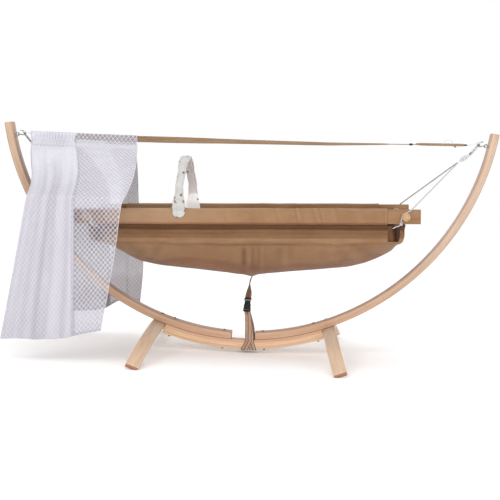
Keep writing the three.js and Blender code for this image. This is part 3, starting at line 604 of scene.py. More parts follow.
def film(name, tone, deep):
    """thin open knit: partly see-through, thicker where it is doubled or gathered"""
    m = Mat(name, rough=0.95, spec=0.1)
    x, y = m.axis(0), m.axis(1)
    k = math.pi / 0.0021
    a = m.math("SINE", m.math("MULTIPLY", m.math("ADD", x, m.math("MULTIPLY", y, 0.8)), k))
    b = m.math("SINE", m.math("MULTIPLY", m.math("SUBTRACT", x, m.math("MULTIPLY", y, 0.8)), k))
    knit = m.math("MAXIMUM", a, b)
    n1 = m.noise(m.scaled(9, 9, 9), 1, 3)
    dens = m.n("ShaderNodeAttribute", attribute_name="dens")
    fold = m.n("ShaderNodeAttribute", attribute_name="fold")
    al = m.math("MULTIPLY", dens.outputs["Fac"], m.value(knit, 0.86, 1.14, -0.2, 0.9))
    al = m.math("ADD", al, m.value(n1, -0.04, 0.04, 0.3, 0.7))
    base = m.mix(m.value(n1, 0, 1, 0.3, 0.7), lin(tone), lin(tuple(c + 6 for c in tone)))
    # painted shade: the fold attribute blends the colour towards the deep tone in folds and pleats
    m.colour(m.mix(m.math("MULTIPLY", fold.outputs["Fac"], 1.0, clamp=True), base, lin(deep)))
    m.lk(m.math("MULTIPLY", al, 1.0, clamp=True), m.b.inputs["Alpha"])
    return m.m


m_thread = thread("net_thread", (214, 212, 220), (202, 199, 208))
# painted shade: the far panel is the same knit as the near one, given darker, greyer thread and film colours
m_thread_far_shaded = thread("net_thread_far_shaded", (184, 179, 188), (172, 166, 176))
m_film = film("net_knit", (178, 176, 184), (148, 144, 153))
m_film_full = film("net_knit_full", (197, 196, 203), (164, 160, 170))
m_thread_full = thread("net_thread_full", (200, 198, 206), (190, 188, 196))
# painted shade: darker, greyer film for the far panel
m_film_far_shaded = film("net_knit_far_shaded", (138, 129, 134), (112, 103, 109))

# ------------------------------------------------------------------- stand
ARC_Z, ARC_X, ARM_R, ARM_T = 1063.5, 8.0, 980.0, 30.5


def radial(s, th):
    return A(s * math.sin(math.radians(th)), 0, -math.cos(math.radians(th)))


def centre(s):
    return A(-s * ARC_X, 0, ARC_Z)


for s, side in ((-1, "left"), (1, "right")):
    sec = rrect(51, ARM_T, 3.4, 4)
    rings, lay = [], []
    ths = np.linspace(3.24, 81.1, 120)
    st = [(ths[0], 1.4), (ths[0] + 0.03, 0.5), (ths[0] + 0.09, 0)] + [(t, 0) for t in ths[1:-1]] + [(ths[-1] - 0.09, 0), (ths[-1] - 0.03, 0.5), (ths[-1], 1.4)]
    for th, ins in st:
        q = sec * (1 - 2 * ins / np.array([51, ARM_T]))
        e = radial(s, th)
        rings.append(ring(centre(s) + e * (ARM_R + ARM_T / 2), A(0, 1, 0), e, q))
        lay.append(np.stack([np.full(len(q), ARM_R * math.radians(th) + 2000 * (s + 1)), q[:, 0], q[:, 1] + ARM_T / 2], 1))
    v, f = loft(rings)
    make(f"{side}_arm_wood", v, f, [m_arm, m_end], "stand", lay=np.concatenate(lay), stands=[f"{side}_arm"], slot="beech", caps_mat=True)

rings, lay = [], []
END, BR, TOPR = 18.4, 1047.5, ARM_R + ARM_T + 0.3
als = np.concatenate([[-END, -END + 0.03], -END + np.array([0.08, 0.16, 0.3, 0.45, 0.62]), np.linspace(-END + 0.8, END - 0.8, 84), END - np.array([0.62, 0.45, 0.3, 0.16, 0.08]), [END - 0.03, END]])
for al in als:
    ar = math.radians(al)
    sa = abs(math.sin(ar))
    rt = -ARC_X * sa + math.sqrt((ARC_X * sa) ** 2 - ARC_X ** 2 + TOPR ** 2)
    d = (END - abs(al)) * math.pi / 180 * BR
    cut = 11 - math.sqrt(max(0, 121 - (11 - d) ** 2)) if d < 11 else 0
    T = BR - cut - rt
    q = rrect(51, T, 3.2, 4)
    ins = 1.2 if d < 0.01 else 0.4 if d < 0.8 else 0
    q = q * (1 - 2 * ins / np.array([51, T]))
    e = A(math.sin(ar), 0, -math.cos(ar))
    rings.append(ring(A(0, 0, ARC_Z) + e * (rt + T / 2), A(0, 1, 0), e, q))
    lay.append(np.stack([np.full(len(q), 1000 * ar + 5000), q[:, 0], q[:, 1] + T / 2], 1))
v, f = loft(rings)
make("bottom_beam_wood", v, f, [m_beam, m_end], "stand", lay=np.concatenate(lay), stands=["bottom_beam"], slot="beech", caps_mat=True)

TILT, FR, FT, FH = math.radians(20.4), 980.0, 20.0, 440.0
for s, side in ((-1, "left"), (1, "right")):
    Apt = centre(s) + radial(s, 20.4) * TOPR
    U = A(s * math.cos(TILT), 0, math.sin(TILT))
    N = A(s * math.sin(TILT), 0, -math.cos(TILT))
    C = Apt + N * FR
    end = math.asin(FH / FR)
    rings, lay = [], []
    ph = np.concatenate([[-end, -end + 0.0006, -end + 0.002], np.linspace(-end + 0.01, end - 0.01, 80), [end - 0.002, end - 0.0006, end]])
    for k, p in enumerate(ph):
        ins = {0: 1.4, 1: 0.5, len(ph) - 2: 0.5, len(ph) - 1: 1.4}.get(k, 0)
        q = rrect(51, FT, 2.8, 4) * (1 - 2 * ins / np.array([51, FT]))
        e = -N * math.cos(p) + A(0, math.sin(p), 0)
        rings.append(ring(C + e * (FR - FT / 2), U, e, q))
        lay.append(np.stack([np.full(len(q), FR * p + 9000 + 2000 * s), q[:, 0], q[:, 1] + FT / 2], 1))
    v, f = loft(rings)
    ob = make(f"{side}_foot_wood", v, f, [m_foot, m_end], "stand", lay=np.concatenate(lay), stands=[f"{side}_cross_foot"], slot="beech", caps_mat=True)
    bm = bmesh.new()
    bm.from_mesh(ob.data)
    bmesh.ops.bisect_plane(bm, geom=bm.verts[:] + bm.edges[:] + bm.faces[:], dist=1e-7, plane_co=(0, 0, 0), plane_no=(0, 0, 1), clear_inner=True)
    bmesh.ops.holes_fill(bm, edges=[e for e in bm.edges if e.is_boundary], sides=0)
    for fc in bm.faces:
        if all(abs(w.co.z) < 1e-6 for w in fc.verts):
            fc.smooth = False
    bmesh.ops.recalc_face_normals(bm, faces=bm.faces[:])
    bm.to_mesh(ob.data)
    bm.free()

BOLTS = [(-1, 20.39), (-1, 17.29), (-1, 5.08), (1, 5.08), (1, 17.29), (1, 20.39)]
for i, (s, th) in enumerate(BOLTS):
    o, d = centre(s), radial(s, th)
    under = TOPR + FT if th > 20 else BR + ARC_X * math.sin(math.radians(th))
    h = ARM_R - 0.35
    prof = [(h - 2.6, 0.05), (h - 2.6, 1.9), (h - 4.25, 2.15), (h - 4.4, 2.5), (h - 4.15, 3.6), (h - 3.5, 5.0), (h - 2.4, 6.3), (h - 1.2, 7.1), (h - 0.5, 7.45), (h - 0.1, 7.5), (h, 7.3), (h, 3.0), (under + 5.4, 3.0)]
    v, f = turned(o, d, prof, 36, hexed=(1, 2))
    make(f"bolt_head_{i + 1}", v, f, m_zinc, "stand", lay=v, stands=[f"bolt_{i + 1}"], slot="zinc", sharp=50)
    n0 = under + 0.3
    prof = [(n0, 3.3), (n0, 5.0), (n0 + 0.4, 5.75), (n0 + 4.2, 5.75), (n0 + 4.8, 5.1), (n0 + 5.0, 4.75), (n0 + 6.6, 4.5), (n0 + 7.9, 3.6), (n0 + 8.8, 2.3), (n0 + 9.25, 0.8), (n0 + 9.3, 0.05)]
    v, f = turned(o, d, prof, 36, hexed=(2, 3))
    make(f"cap_nut_{i + 1}", v, f, m_zinc, "stand", lay=v, stands=[f"nut_{i + 1}"], slot="zinc", sharp=50)

# ---------------------------------------------------------------- hardware
EYE_X, EYE_Z, RR = 941.6, 861.5, 6.5
HUX, HUZ, HU = 916.5, 868.0, 7.5


def circle_pts(c, u, w, R, n):
    a = np.arange(n) / n * 2 * np.pi
    return np.asarray(c) + R * (np.cos(a)[:, None] * np.asarray(u) + np.sin(a)[:, None] * np.asarray(w))


for s, side in ((-1, "left"), (1, "right")):
    bag = Bag()
    v, f, l = tube(circle_pts(A(s * EYE_X, 0, EYE_Z), A(1, 0, 0), A(0, 0, 1), RR, 56), 2.0, 14, closed=True)
    bag.add(v, f, v)
    v, f = turned(A(s * (EYE_X + RR - 0.6), 0, EYE_Z), A(s, 0, 0), [(0, 1.6), (0.6, 2.2), (2.2, 2.3), (4, 2.1), (24, 2.0), (27.4, 0.4)], 20)
    bag.add(v, f, v)
    bag.make(f"{side}_eye_steel", m_zinc, "stand", stands=[f"{side}_screw_eye"], slot="zinc", sharp=60)

    hx = EYE_X - 8.6
    bag = Bag()
    v, f, l = tube(circle_pts(A(s * hx, 0, EYE_Z), A(1, 0, 0), A(0, 1, 0), RR, 56), 2.0, 14, closed=True)
    bag.add(v, f, v)
    pts = [[hx - RR + 0.6, EYE_Z + 0.2], [hx - RR - 2.5, EYE_Z - 0.7], [hx - RR - 5, EYE_Z - 1.5]]
    for a in range(-85, -276, -19):
        pts.append([HUX + HU * math.cos(math.radians(a)), HUZ + HU * math.sin(math.radians(a))])
    pts += [[HUX + 6, HUZ + 8.6], [HUX + 15, HUZ + 11]]
    P = spline([[s * x, 0, z] for x, z in pts], 1.0)
    r = np.full(len(P), 2.3)
    r[-3:] = (2.2, 1.8, 0.9)
    v, f, l = tube(P, r, 14)
    bag.add(v, f, v)
    bag.make(f"{side}_hook_steel", m_zinc, "stand", stands=[f"{side}_hook"], slot="zinc", sharp=60)

    a = unit(A(-0.653 * s, 0, -0.757))
    n1 = unit(A(0.757 * s, 0, -0.653))
    w = n1 * math.cos(math.radians(64)) + A(0, math.sin(math.radians(64)), 0)
    c = A(s * 916.1, 0, 867.3) + a * 27
    at = lambda p, q: c + a * p + w * q
    rr, hf, gl = 7.5, 19.5, 22.0
    path = [at(gl / 2 + 1.2, -rr), at(hf - 2, -rr)]
    path += [at(hf + rr * math.cos(math.radians(t)), rr * math.sin(math.radians(t))) for t in range(-90, 91, 9)]
    path.append(at(0, rr))
    path += [at(-hf + rr * math.cos(math.radians(t)), rr * math.sin(math.radians(t))) for t in range(90, 271, 9)]
    path += [at(-gl / 2 - 2.5, -rr), at(-gl / 2 - 0.4, -rr)]
    v, f, l = tube(np.array(path), 2.35, 14)
    make(f"{side}_link_steel", v, f, m_zinc, "bed", lay=v, stands=[f"{side}_carabiner"], slot="zinc", sharp=60)
    bag = Bag()
    v, f = turned(at(-gl / 2, -rr), a, [(0, 1.2), (0.4, 1.75), (3.0, 1.8), (3.3, 1.35), (4.0, 1.35), (4.3, 1.8), (gl - 3, 1.8), (gl - 0.3, 1.7), (gl, 1.0)], 20)
    bag.add(v, f, v)
    bag.make(f"{side}_gate_steel", m_zinc, f"{side}_gate", stands=[f"{side}_carabiner_gate"], slot="zinc", sharp=50)

    # wound rope knot: eye through the link, turns round a core
    low = at(27, 0)
    b = unit(A(-0.832 * s, 0, -0.555))
    bp = unit(b - np.dot(b, w) * w)
    bq = np.cross(w, bp)
    bag = Bag()
    v, f, l = tube(circle_pts(low, bp, bq, 5.5, 40), 2.4, 12, closed=True, lobes=3, pitch=11.5)
    bag.add(v, f, l)
    core = [low + b * t for t in np.linspace(5.4, 49, 20)]
    v, f, l = tube(np.array(core), np.interp(np.linspace(0, 1, 20), [0, .1, .5, .9, 1], [2.2, 3.2, 4.2, 3.6, 2.6]), 10)
    bag.add(v, f, l)
    turns, hel = 5.2, []
    for k in range(150):
        t = k / 149
        R = np.interp(t, [0, 0.12, 0.45, 0.8, 1], [4.0, 5.8, 7.2, 5.6, 4.2]) + 0.5 * math.sin(17 * t)
        ang = 2 * math.pi * turns * t
        q1 = unit(np.cross(b, A(0, 1, 0)))
        hel.append(low + b * (9 + 35 * t) + R * (math.cos(ang) * q1 + math.sin(ang) * A(0, 1, 0)))
    v, f, l = tube(np.array(hel), 2.75, 10, lobes=3, pitch=12)
    bag.add(v, f, l)
    bag.make(f"{side}_knot_rope", m_rope, "bed", stands=[f"{side}_rope_knot"], slot="rope", sharp=0)

    lp = [[868, 4.2, 862.5], [890, 4.2, 867], [905, 4.2, 871.3], [912, 4.2, 872.6], [916.3, 4.2, 872.2], [919.2, 3.1, 871.6], [920.4, 0, 871.4]]
    full = lp + [[x, -y, z] for x, y, z in lp[:-1]][::-1]
    P = spline([[s * x, y, z] for x, y, z in full], 1.5)
    v, f, l = tube(P, 1.9, 9, lobes=3, pitch=8)
    make(f"{side}_loop_cord", v, f, m_rope, "stand", lay=l, stands=[f"{side}_strap_loop"], slot="rope", sharp=0)

# -------------------------------------------------------------- ridge strap
STRAP_Z = [[-883, 862], [-452, 854.5], [326, 854.5], [572, 860.1], [604, 860.4], [667, 861.2], [866, 862.2]]
STRAP_T = [[-883, 0], [-700, 3], [-450, 10], [-290, 12], [-120, 41], [0, 49], [326, 64], [540, 80], [572, 90], [660, 90], [688, 77], [846, 77], [866, 88]]


def strap_rings(x0, x1, n, dz=0.0, w=25.0, t=2.8, wave=0.0):
    sec = rrect(w, t, min(0.95, t / 2 - 0.05), 3)
    rings, lay = [], []
    for x in np.linspace(x0, x1, n):
        tw = math.radians(interp(x, STRAP_T))
        W = A(0, math.sin(tw), math.cos(tw))
        T = A(0, math.cos(tw), -math.sin(tw))
        rings.append(ring(A(x, 0, interp(x, STRAP_Z) + wave * math.sin(x / 17)) - T * dz, W, T, sec))
        lay.append(np.stack([np.full(len(sec), x), sec[:, 0], sec[:, 1]], 1))
    return rings, np.concatenate(lay)


rings, lay = strap_rings(-883, 866, 260)
v, f = loft(rings)
make("ridge_webbing", v, f, m_web, "stand", lay=lay, stands=["ridge_strap"], slot="webbing", sharp=50)
rings, lay = strap_rings(668, 865.5, 80, dz=3.0)
v, f = loft(rings)
make("ridge_webbing_return", v, f, m_web, "stand", lay=lay, stands=["ridge_strap_return"], slot="webbing", sharp=50)
rings = [ring(A(x, 0, interp(x, STRAP_Z)) + A(0, 0, 1.3), A(0, 1, 0), A(0, 0, 1), rrect(25.8 - k, 6.6 - k, 1.6, 4)) for x, k in
         ((853.4, 2.0), (854.2, 0.2), (857, 0), (857.6, 0.7), (858.2, 0), (861, 0), (861.6, 0.7), (862.2, 0), (865.6, 0.2), (866.4, 2.0))]
v, f = loft(rings)
make("strap_end_whipping", v, f, m_web_dark, "stand", lay=v, slot="webbing", sharp=50)
P = spline([[815, -9.5, 860.2], [818, -10.4, 857.4], [821.5, -10.2, 854.6], [823.5, -9.6, 853.6]], 0.8)
v, f, l = tube(P, np.interp(np.linspace(0, 1, len(P)), [0, 0.2, 0.7, 1], [1.4, 2.2, 2.4, 1.2]), 10, lobes=3, pitch=9)
make("return_end_knot", v, f, m_web_dark, "stand", lay=l, slot="webbing", sharp=0)
P = spline([[772, -6, 862.6], [778, -6.5, 873], [786, -6, 880.5], [797, -4, 883], [809, -2.5, 876], [819, -1, 863.4]], 1.2)
v, f, l = tube(P, 1.35, 8)
make("return_tie_thread", v, f, m_rope, "stand", lay=l, slot="rope", sharp=0)
z0 = float(interp(647, STRAP_Z))
corner = []
for cy, cz, a0 in ((14.6, z0 + 2.0, 0), (-14.6, z0 + 2.0, 90), (-14.6, z0 - 2.0, 180), (14.6, z0 - 2.0, 270)):
    for k in range(5):
        an = math.radians(a0 + 22.5 * k)
        corner.append((647, cy + 1.2 * math.cos(an), cz + 1.2 * math.sin(an)))
corner = np.array(corner)
T, U, W = frames(corner, closed=True, hint=A(1, 0, 0))
sec = rrect(10.6, 1.3, 0.6, 3)
v, f = loft([ring(corner[i], U[i], W[i], sec) for i in range(len(corner))], closed=True)
make("slider_frame", v, f, m_black, "slider", lay=v, stands=["strap_slider"], slot="black_plastic", sharp=50)

# --------------------------------------------------------------------- bed
BX, BZ, BT = 8.0, 567.5, -0.027
cb, sb = math.cos(BT), math.sin(BT)


def to_world(p):
    p = np.asarray(p, float)
    out = p.copy()
    out[..., 0] = BX + p[..., 0] * cb + p[..., 2] * sb
    out[..., 2] = BZ - p[..., 0] * sb + p[..., 2] * cb
    return out


def to_bed(p):
    p = np.asarray(p, float)
    out = p.copy()
    dx, dz = p[..., 0] - BX, p[..., 2] - BZ
    out[..., 0] = dx * cb - dz * sb
    out[..., 2] = dx * sb + dz * cb
    return out


def shade_attr(ob, values, crease=None):
    for key, val in (("shade", values), ("crease", np.zeros(len(values)) if crease is None else crease)):
        at = ob.data.attributes.new(key, "FLOAT", "POINT")
        at.data.foreach_set("value", np.asarray(val, float))


def bumps(x, pts):
    """sum of soft ridges (centre, height, width)"""
    return sum(h * np.exp(-((x - c) / w) ** 2) for c, h, w in pts)


for side, t in (("near", -1), ("far", 1)):
    yc = t * 230.4
    rings, lay = [], []
    xs = [-664, -663.4, -662] + list(np.linspace(-650, 650, 20)) + [662, 663.4, 664]
    for k, x in enumerate(xs):
        ins = {0: 1.2, 1: 0.4, len(xs) - 2: 0.4, len(xs) - 1: 1.2}.get(k, 0)
        q = rrect(18, 55, 2.2, 3) * (1 - 2 * ins / np.array([18, 55]))
        rings.append(ring(A(x, yc, 0), A(0, 1, 0), A(0, 0, 1), q))
        lay.append(np.stack([np.full(len(q), x + 3000 * t), q[:, 1], q[:, 0] + 9], 1))
    v, f = loft(rings)
    make(f"{side}_bar_wood", to_world(v), f, m_bar, "bed", lay=np.concatenate(lay), stands=[f"{side}_side_bar"], slot="honey_wood")

for side, s in (("left", -1), ("right", 1)):
    x = s * 607.0
    prof = [(3.2, 9.6), (3.6, 10.6), (4.4, 11), (100, 11), (424, 11), (519.6, 11), (520.4, 10.6), (520.8, 9.6)]
    v, f = turned(A(x, -262, 0), A(0, 1, 0), prof, 40)
    lay = np.stack([v[:, 1] + 700 * s, v[:, 0] - x, v[:, 2]], 1)
    make(f"{side}_rod_wood", to_world(v), f, m_bar, "bed", lay=lay, stands=[f"{side}_spreader_rod"], slot="honey_wood")
    for near, t in (("near", -1), ("far", 1)):
        prof = [(13.7, 0.05), (13.9, 5.0), (13.95, 10.0), (13.35, 10.7), (13.9, 11.4), (13.8, 13.6), (13.4, 14.9), (12.3, 16.0), (11, 16.5), (3, 16.5), (1.2, 16.2), (0.3, 15.4), (0, 14.4), (0, 11.4), (11.4, 11.4), (11.4, 0.05)]
        d = A(0, t, 0)
        v, f = turned(A(x, t * 248, 0), d, prof, 44)
        lay = np.stack([(v[:, 1]) + 300 * s, v[:, 0] - x, v[:, 2]], 1)
        make(f"{near}_{side}_knob_wood", to_world(v), f, m_knob, "bed", lay=lay, stands=[f"{near}_{side}_knob"], slot="knob_wood", sharp=50)

        # rope: big knot, over the bar's edge, noose on the rod's neck, small knot and tail
        K = to_bed(A(s * 838.4, t * 3.4, 797))
        Q = lambda dx, y, z: A(x + s * dx, t * y, z)
        R = 13.9
        e = np.linspace(0, 1, 16)
        start = K + (Q(26.5, 240.2, 31.6) - K) * 0.02
        pts = [start, K + (Q(26.5, 240.2, 31.6) - K) * 0.5, Q(29.5, 237.2, 34.4), Q(26.0, 240.9, 31.2), Q(23.4, 242.9, 28.8), Q(18, 243.5, 24)]
        for an in (100, 125, 150, 180, 215, 250, 285, 320, 355, 390, 425, 455):
            pts.append(Q(R * math.cos(math.radians(an)), 243.4 + (an - 100) * 0.0035, R * math.sin(math.radians(an))))
        for an in (490, 520):
            pts.append(Q(R * 1.02 * math.cos(math.radians(an)), 244.9, R * 1.02 * math.sin(math.radians(an))))
        pts += [Q(-16.2, 245.5, -10), Q(-17.5, 246.3, -20)]
        rm = m_rope_near if t < 0 else m_rope_far
        P = spline(pts, 1.7)
        cut = int(np.argmin(np.linalg.norm(P - pts[5], axis=1)))
        v, f, l = tube(P[:cut + 1], 2.5, 10, lobes=3, pitch=13)
        run = make(f"{near}_{side}_rope_laid", to_world(v), f, rm, "bed", lay=l, stands=[f"{near}_{side}_rope"], slot="rope", sharp=0)
        run_path = to_world(P[:cut + 1])
        bag = Bag()
        v, f, l = tube(P[cut:], 2.5, 10, lobes=3, pitch=13)
        bag.add(to_world(v), f, l)
        # small overhand knot
        kn = []
        for k in range(60):
            ph = k / 59 * 2 * math.pi * 1.75
            kn.append(Q(-16.5 + 3.6 * math.sin(ph) + 1.4 * math.cos(2 * ph), 246.3 + 2.1 * math.cos(1.5 * ph), -21.5 - 7 * k / 59 + 3.2 * math.cos(ph)))
        v, f, l = tube(np.array(kn), 2.2, 9, lobes=3, pitch=12)
        bag.add(to_world(v), f, l)
        P = spline([Q(-17, 246.4, -25), Q(-24, 247.2, -33), Q(-37, 247.6, -37.5), Q(-49, 247.6, -43.5)], 1.7)
        r = np.full(len(P), 2.0)
        r[-2:] = (1.8, 0.9)
        v, f, l = tube(P, r, 9, lobes=3, pitch=11)
        bag.add(to_world(v), f, l)
        noose = bag.make(f"{near}_{side}_rope_noose", rm, "bed", slot="rope", sharp=0)
        run_length = float(np.linalg.norm(np.diff(run_path, axis=0), axis=1).sum()) * MM
        tuple(float(c) * MM for c in run_path[0])
        [tuple(float(c) * MM for c in q) for q in run_path]
        print("CORD", near, side, round(run_length, 3))

# canvas sleeves over the bars, with the tucks that the bed's weight pulls into them
SLEEVE_TUCKS = {-1: [(196, -1.5, 5), (206, 1.6, 6), (216, -1.2, 5), (262, -1.3, 6), (276, 1.8, 7), (288, -1.6, 5), (297, 1.0, 6), (120, -0.9, 6), (132, 0.9, 7), (64, -0.6, 6), (340, 0.8, 9), (352, -0.7, 6), (-60, 0.6, 12), (-80, -0.6, 8), (430, 0.7, 10), (452, -0.8, 7), (-330, 0.6, 14)],
                1: [(150, 1.2, 9), (-120, 1.0, 12), (330, -1.0, 9)]}
for side, t in (("near", -1), ("far", 1)):
    xs = np.linspace(-538, 538, 300)
    sec = rrect(25.2, 61.6, 6, 5)
    # denser section so that wrinkles can form
    dense = []
    for i in range(len(sec)):
        p, q = sec[i], sec[(i + 1) % len(sec)]
        k = max(1, int(np.linalg.norm(q - p) / 4))
        dense += [p + (q - p) * j / k for j in range(k)]
    sec = np.array(dense)
    nrm = sec / np.array([12.6, 30.8]) ** 2
    nrm /= np.linalg.norm(nrm, axis=1, keepdims=True)
    side_n = np.where(np.abs(sec[:, 0]) > 12, 1.0, 0.0)[:, None] * np.sign(sec[:, :1])
    nrm = np.where(side_n != 0, np.concatenate([side_n, np.zeros_like(side_n)], 1), nrm)
    rings, lay = [], []
    per = np.concatenate([[0], np.cumsum(np.linalg.norm(np.diff(sec, axis=0), axis=1))])
    for x in xs:
        P3 = np.stack([np.full(len(sec), x * 0.02), sec[:, 0] * 0.045 + t * 9, sec[:, 1] * 0.03], 1)
        pucker = fnoise(P3, 3, 3) * 0.8
        diag = 0.9 * np.exp(-((np.sin((x + sec[:, 1] * (0.9 if t < 0 else -0.6)) * 0.052 + 1.4 * fnoise(np.array([[x * 0.006, 0, 0]]), 5)[0]) - 1) ** 2) / 0.05) * smooth(x, -150, 250)
        tuck = 0.42 * bumps(x + 0.28 * sec[:, 1], SLEEVE_TUCKS[t]) * smooth(sec[:, 1], -30, -10)
        d = pucker + diag * (0.6 + 0.4 * np.sin(x * 0.013)) + tuck
        top_sag = 0.5 * np.sin(x * 0.021 + 1) * (sec[:, 1] > 25)
        q = sec + nrm * (d + top_sag)[:, None]
        q[:, 0] *= t * -1 if False else 1
        rings.append(ring(A(x, t * 230.4, 0), A(0, t, 0), A(0, 0, 1), q))
        lay.append(np.stack([np.full(len(sec), x), per + 400 * t, np.zeros(len(sec))], 1))
    # open tube
    inner = [rings[0] * 1.0, rings[-1] * 1.0]
    v, f = loft(rings, caps=False)
    ob = make(f"{side}_sleeve_canvas", to_world(v), f, m_canvas, "bed", lay=np.concatenate(lay), stands=[f"{side}_side_sleeve"], slot="canvas", sharp=0,
              flip=volume(v, f) < 0)
    sd = ob.modifiers.new("thick", "SOLIDIFY")
    sd.thickness, sd.offset = 0.0012, -1
    # painted shade on the sleeve's lower side and in its tucks, a painted highlight along its top and over its left
    # part, and a dark line at the hem with a lighter band beyond it
    z_, x_ = v[:, 2], v[:, 0]
    low = smooth(-z_, 19, 27)
    tucks = bumps(x_ + 0.28 * z_, [(c, -0.08 * h, w) for c, h, w in SLEEVE_TUCKS[t]]) * smooth(z_, -30, -10) - 0.34 * (1 - smooth(x_, -330, 60))
    hem = 0.30 * np.exp(-((np.abs(x_) - 526) / 1.6) ** 2) - 0.10 * smooth(np.abs(x_), 527, 530)
    top = -0.10 * smooth(z_, 22, 30)
    shade_attr(ob, low * 0.9 + 0.12, 0.22 * low + tucks + hem + top + 0.05 * fnoise(np.stack([x_ * 0.01, z_ * 0.03, 0 * x_], 1), 8, 3))

# canvas tub
FLOOR = [[-609, -104], [-590, -108.3], [-555, -117.7], [-520, -136.2], [-480, -163.2], [-432, -190.1], [-360, -206], [-280, -214.2], [-200, -222.9], [-120, -232],
         [-60, -239], [-15, -243.3], [13, -243.2], [40, -241.1], [80, -237.8], [150, -231.9], [230, -225.7], [310, -219.3], [400, -210], [465, -194.1], [525, -167.9],
         [575, -138.3], [592, -124], [609, -112]]
END_X, STRIP_X, HEM_X = 608.0, 590.0, 542.0
fx = np.linspace(-609, 609, 489)
fz = interp(fx, FLOOR)
ker = np.exp(-np.linspace(-2, 2, 25) ** 2)
fz = np.convolve(np.pad(fz, 12, mode="edge"), ker / ker.sum(), "valid")


def tub_point(x, g):
    """x along; g -1..1 across the floor, beyond it up the side walls (2 = rim)"""
    zb = np.interp(x, fx, fz)
    f = np.clip(np.abs(g), 0, 1)
    pull = 12 * np.exp(-((x - 13) ** 2) / (2 * 20 ** 2)) * np.exp(-((f * 226) ** 2) / (2 * 30 ** 2))
    y = 226 * f
    z = zb + (-97 - zb) * f ** 3.2 - pull
    rise = np.clip(np.abs(g) - 1, 0, 1)
    z = z + rise * (97 - 31)
    return y * np.sign(g), z


GX = np.unique(np.concatenate([np.linspace(-END_X, END_X, 300), [-STRIP_X, -HEM_X, HEM_X, STRIP_X]]))
gu = np.concatenate([np.linspace(-2, -1, 22)[:-1], -np.linspace(1, 0, 60) ** 0.8, (np.linspace(0, 1, 60) ** 0.8)[1:], np.linspace(1, 2, 22)[1:]])
X, G = np.meshgrid(GX, gu, indexing="ij")
Y, Z = tub_point(X, G)
P = np.stack([X, Y, Z], -1)
dx = np.gradient(P, axis=0)
dg = np.gradient(P, axis=1)
NN = np.cross(dx, dg)
NN /= np.maximum(np.linalg.norm(NN, axis=-1, keepdims=True), 1e-9)
NN *= np.where((NN[..., 1] * np.sign(Y) + (NN[..., 2] < 0)) < 0, -1, 1)[..., None]
out = np.stack([np.zeros_like(X), np.sign(G) * np.clip(np.abs(G) * 2 - 1.2, 0, 1), -np.clip(1.6 - np.abs(G) * 1.4, 0, 1)], -1)
out /= np.maximum(np.linalg.norm(out, axis=-1, keepdims=True), 1e-9)
flat = P.reshape(-1, 3)
wr = np.zeros(X.shape)
side_id = np.sign(G)
# broad soft folds on the floor, fanning from the pulled point and the ends
ang = np.arctan2(np.abs(Y) * 1.0, X - 13)
wr += 1.6 * fnoise(np.stack([X.ravel() * 0.011, G.ravel() * 2.2 + 5, side_id.ravel() * 3], 1), 11, 3).reshape(X.shape) * (np.abs(G) < 1)
wr += 1.3 * np.sin(ang * 17 + side_id) * np.exp(-(np.hypot(X - 13, Y) / 150) ** 2) * smooth(np.hypot(X - 13, Y), 10, 60)
for k, (xc, sl, am, wd) in enumerate([(-430, 0.9, 3.0, 30), (-395, 0.5, 2.4, 22), (-330, -0.4, 1.8, 26), (430, -0.9, 2.8, 30), (492, -1.2, 2.6, 22), (350, -0.5, 1.6, 24), (120, 0.15, 1.8, 18), (150, 0.1, 1.4, 14), (-60, -0.2, 1.2, 20)]):
    line = X - xc - sl * (np.abs(G) - 0.7) * 226
    wr += am * np.exp(-(line / wd) ** 2) * smooth(np.abs(G), 0.35, 0.6) * (1 - smooth(np.abs(G), 0.9, 1.0)) * (1 if k % 2 else -0.7)
# side walls: faint vertical pull marks and slack
wall = smooth(np.abs(G), 1.0, 1.08) * (1 - smooth(np.abs(G), 1.9, 2.0))
wr += wall * (1.1 * fnoise(np.stack([X.ravel() * 0.014, G.ravel() * 3, side_id.ravel() * 7], 1), 21, 3).reshape(X.shape))
# felled seam band, a raised strip between two stitched lines
zz = Z
wob = 2.2 * np.sin(X * 0.012 + 0.6) + 1.4 * np.sin(X * 0.031) + 1.2 * fnoise(np.stack([X.ravel() * 0.02, side_id.ravel() * 4, 0 * X.ravel()], 1), 31, 2).reshape(X.shape)
band = np.clip(1 - np.abs((G * side_id - 1.11 - wob / 66 * 0.5)) / 0.13, 0, 1)
wr += 1.5 * smooth(band, 0, 0.3)
for off in (-0.13, 0.13):
    wr -= 1.1 * np.exp(-((G * side_id - 1.11 - wob / 66 * 0.5 - off) / 0.022) ** 2)
# soft fold where the side turns under
CHINE = [[-560, 0.42], [-470, 0.60], [-419, 0.68], [-376, 0.655], [-306, 0.745], [-239, 0.81], [-179, 0.795], [-102, 0.77], [3, 0.735], [61, 0.70], [190, 0.69], [326, 0.65], [400, 0.69], [457, 0.715], [499, 0.71], [560, 0.55]]
aG = np.abs(G)
gc = interp(X.ravel(), CHINE).reshape(X.shape) + 0.01 * np.sin(X * 0.035) + 0.006 * np.sin(X * 0.09 + 1)
turn = smooth(aG, 0.98, 0.9) if False else (1 - smooth(aG, 0.93, 0.99))
wr += 2.2 * np.exp(-((aG - gc) / 0.035) ** 2) * (0.6 + 0.4 * np.sin(X * 0.017 + 1)) * turn
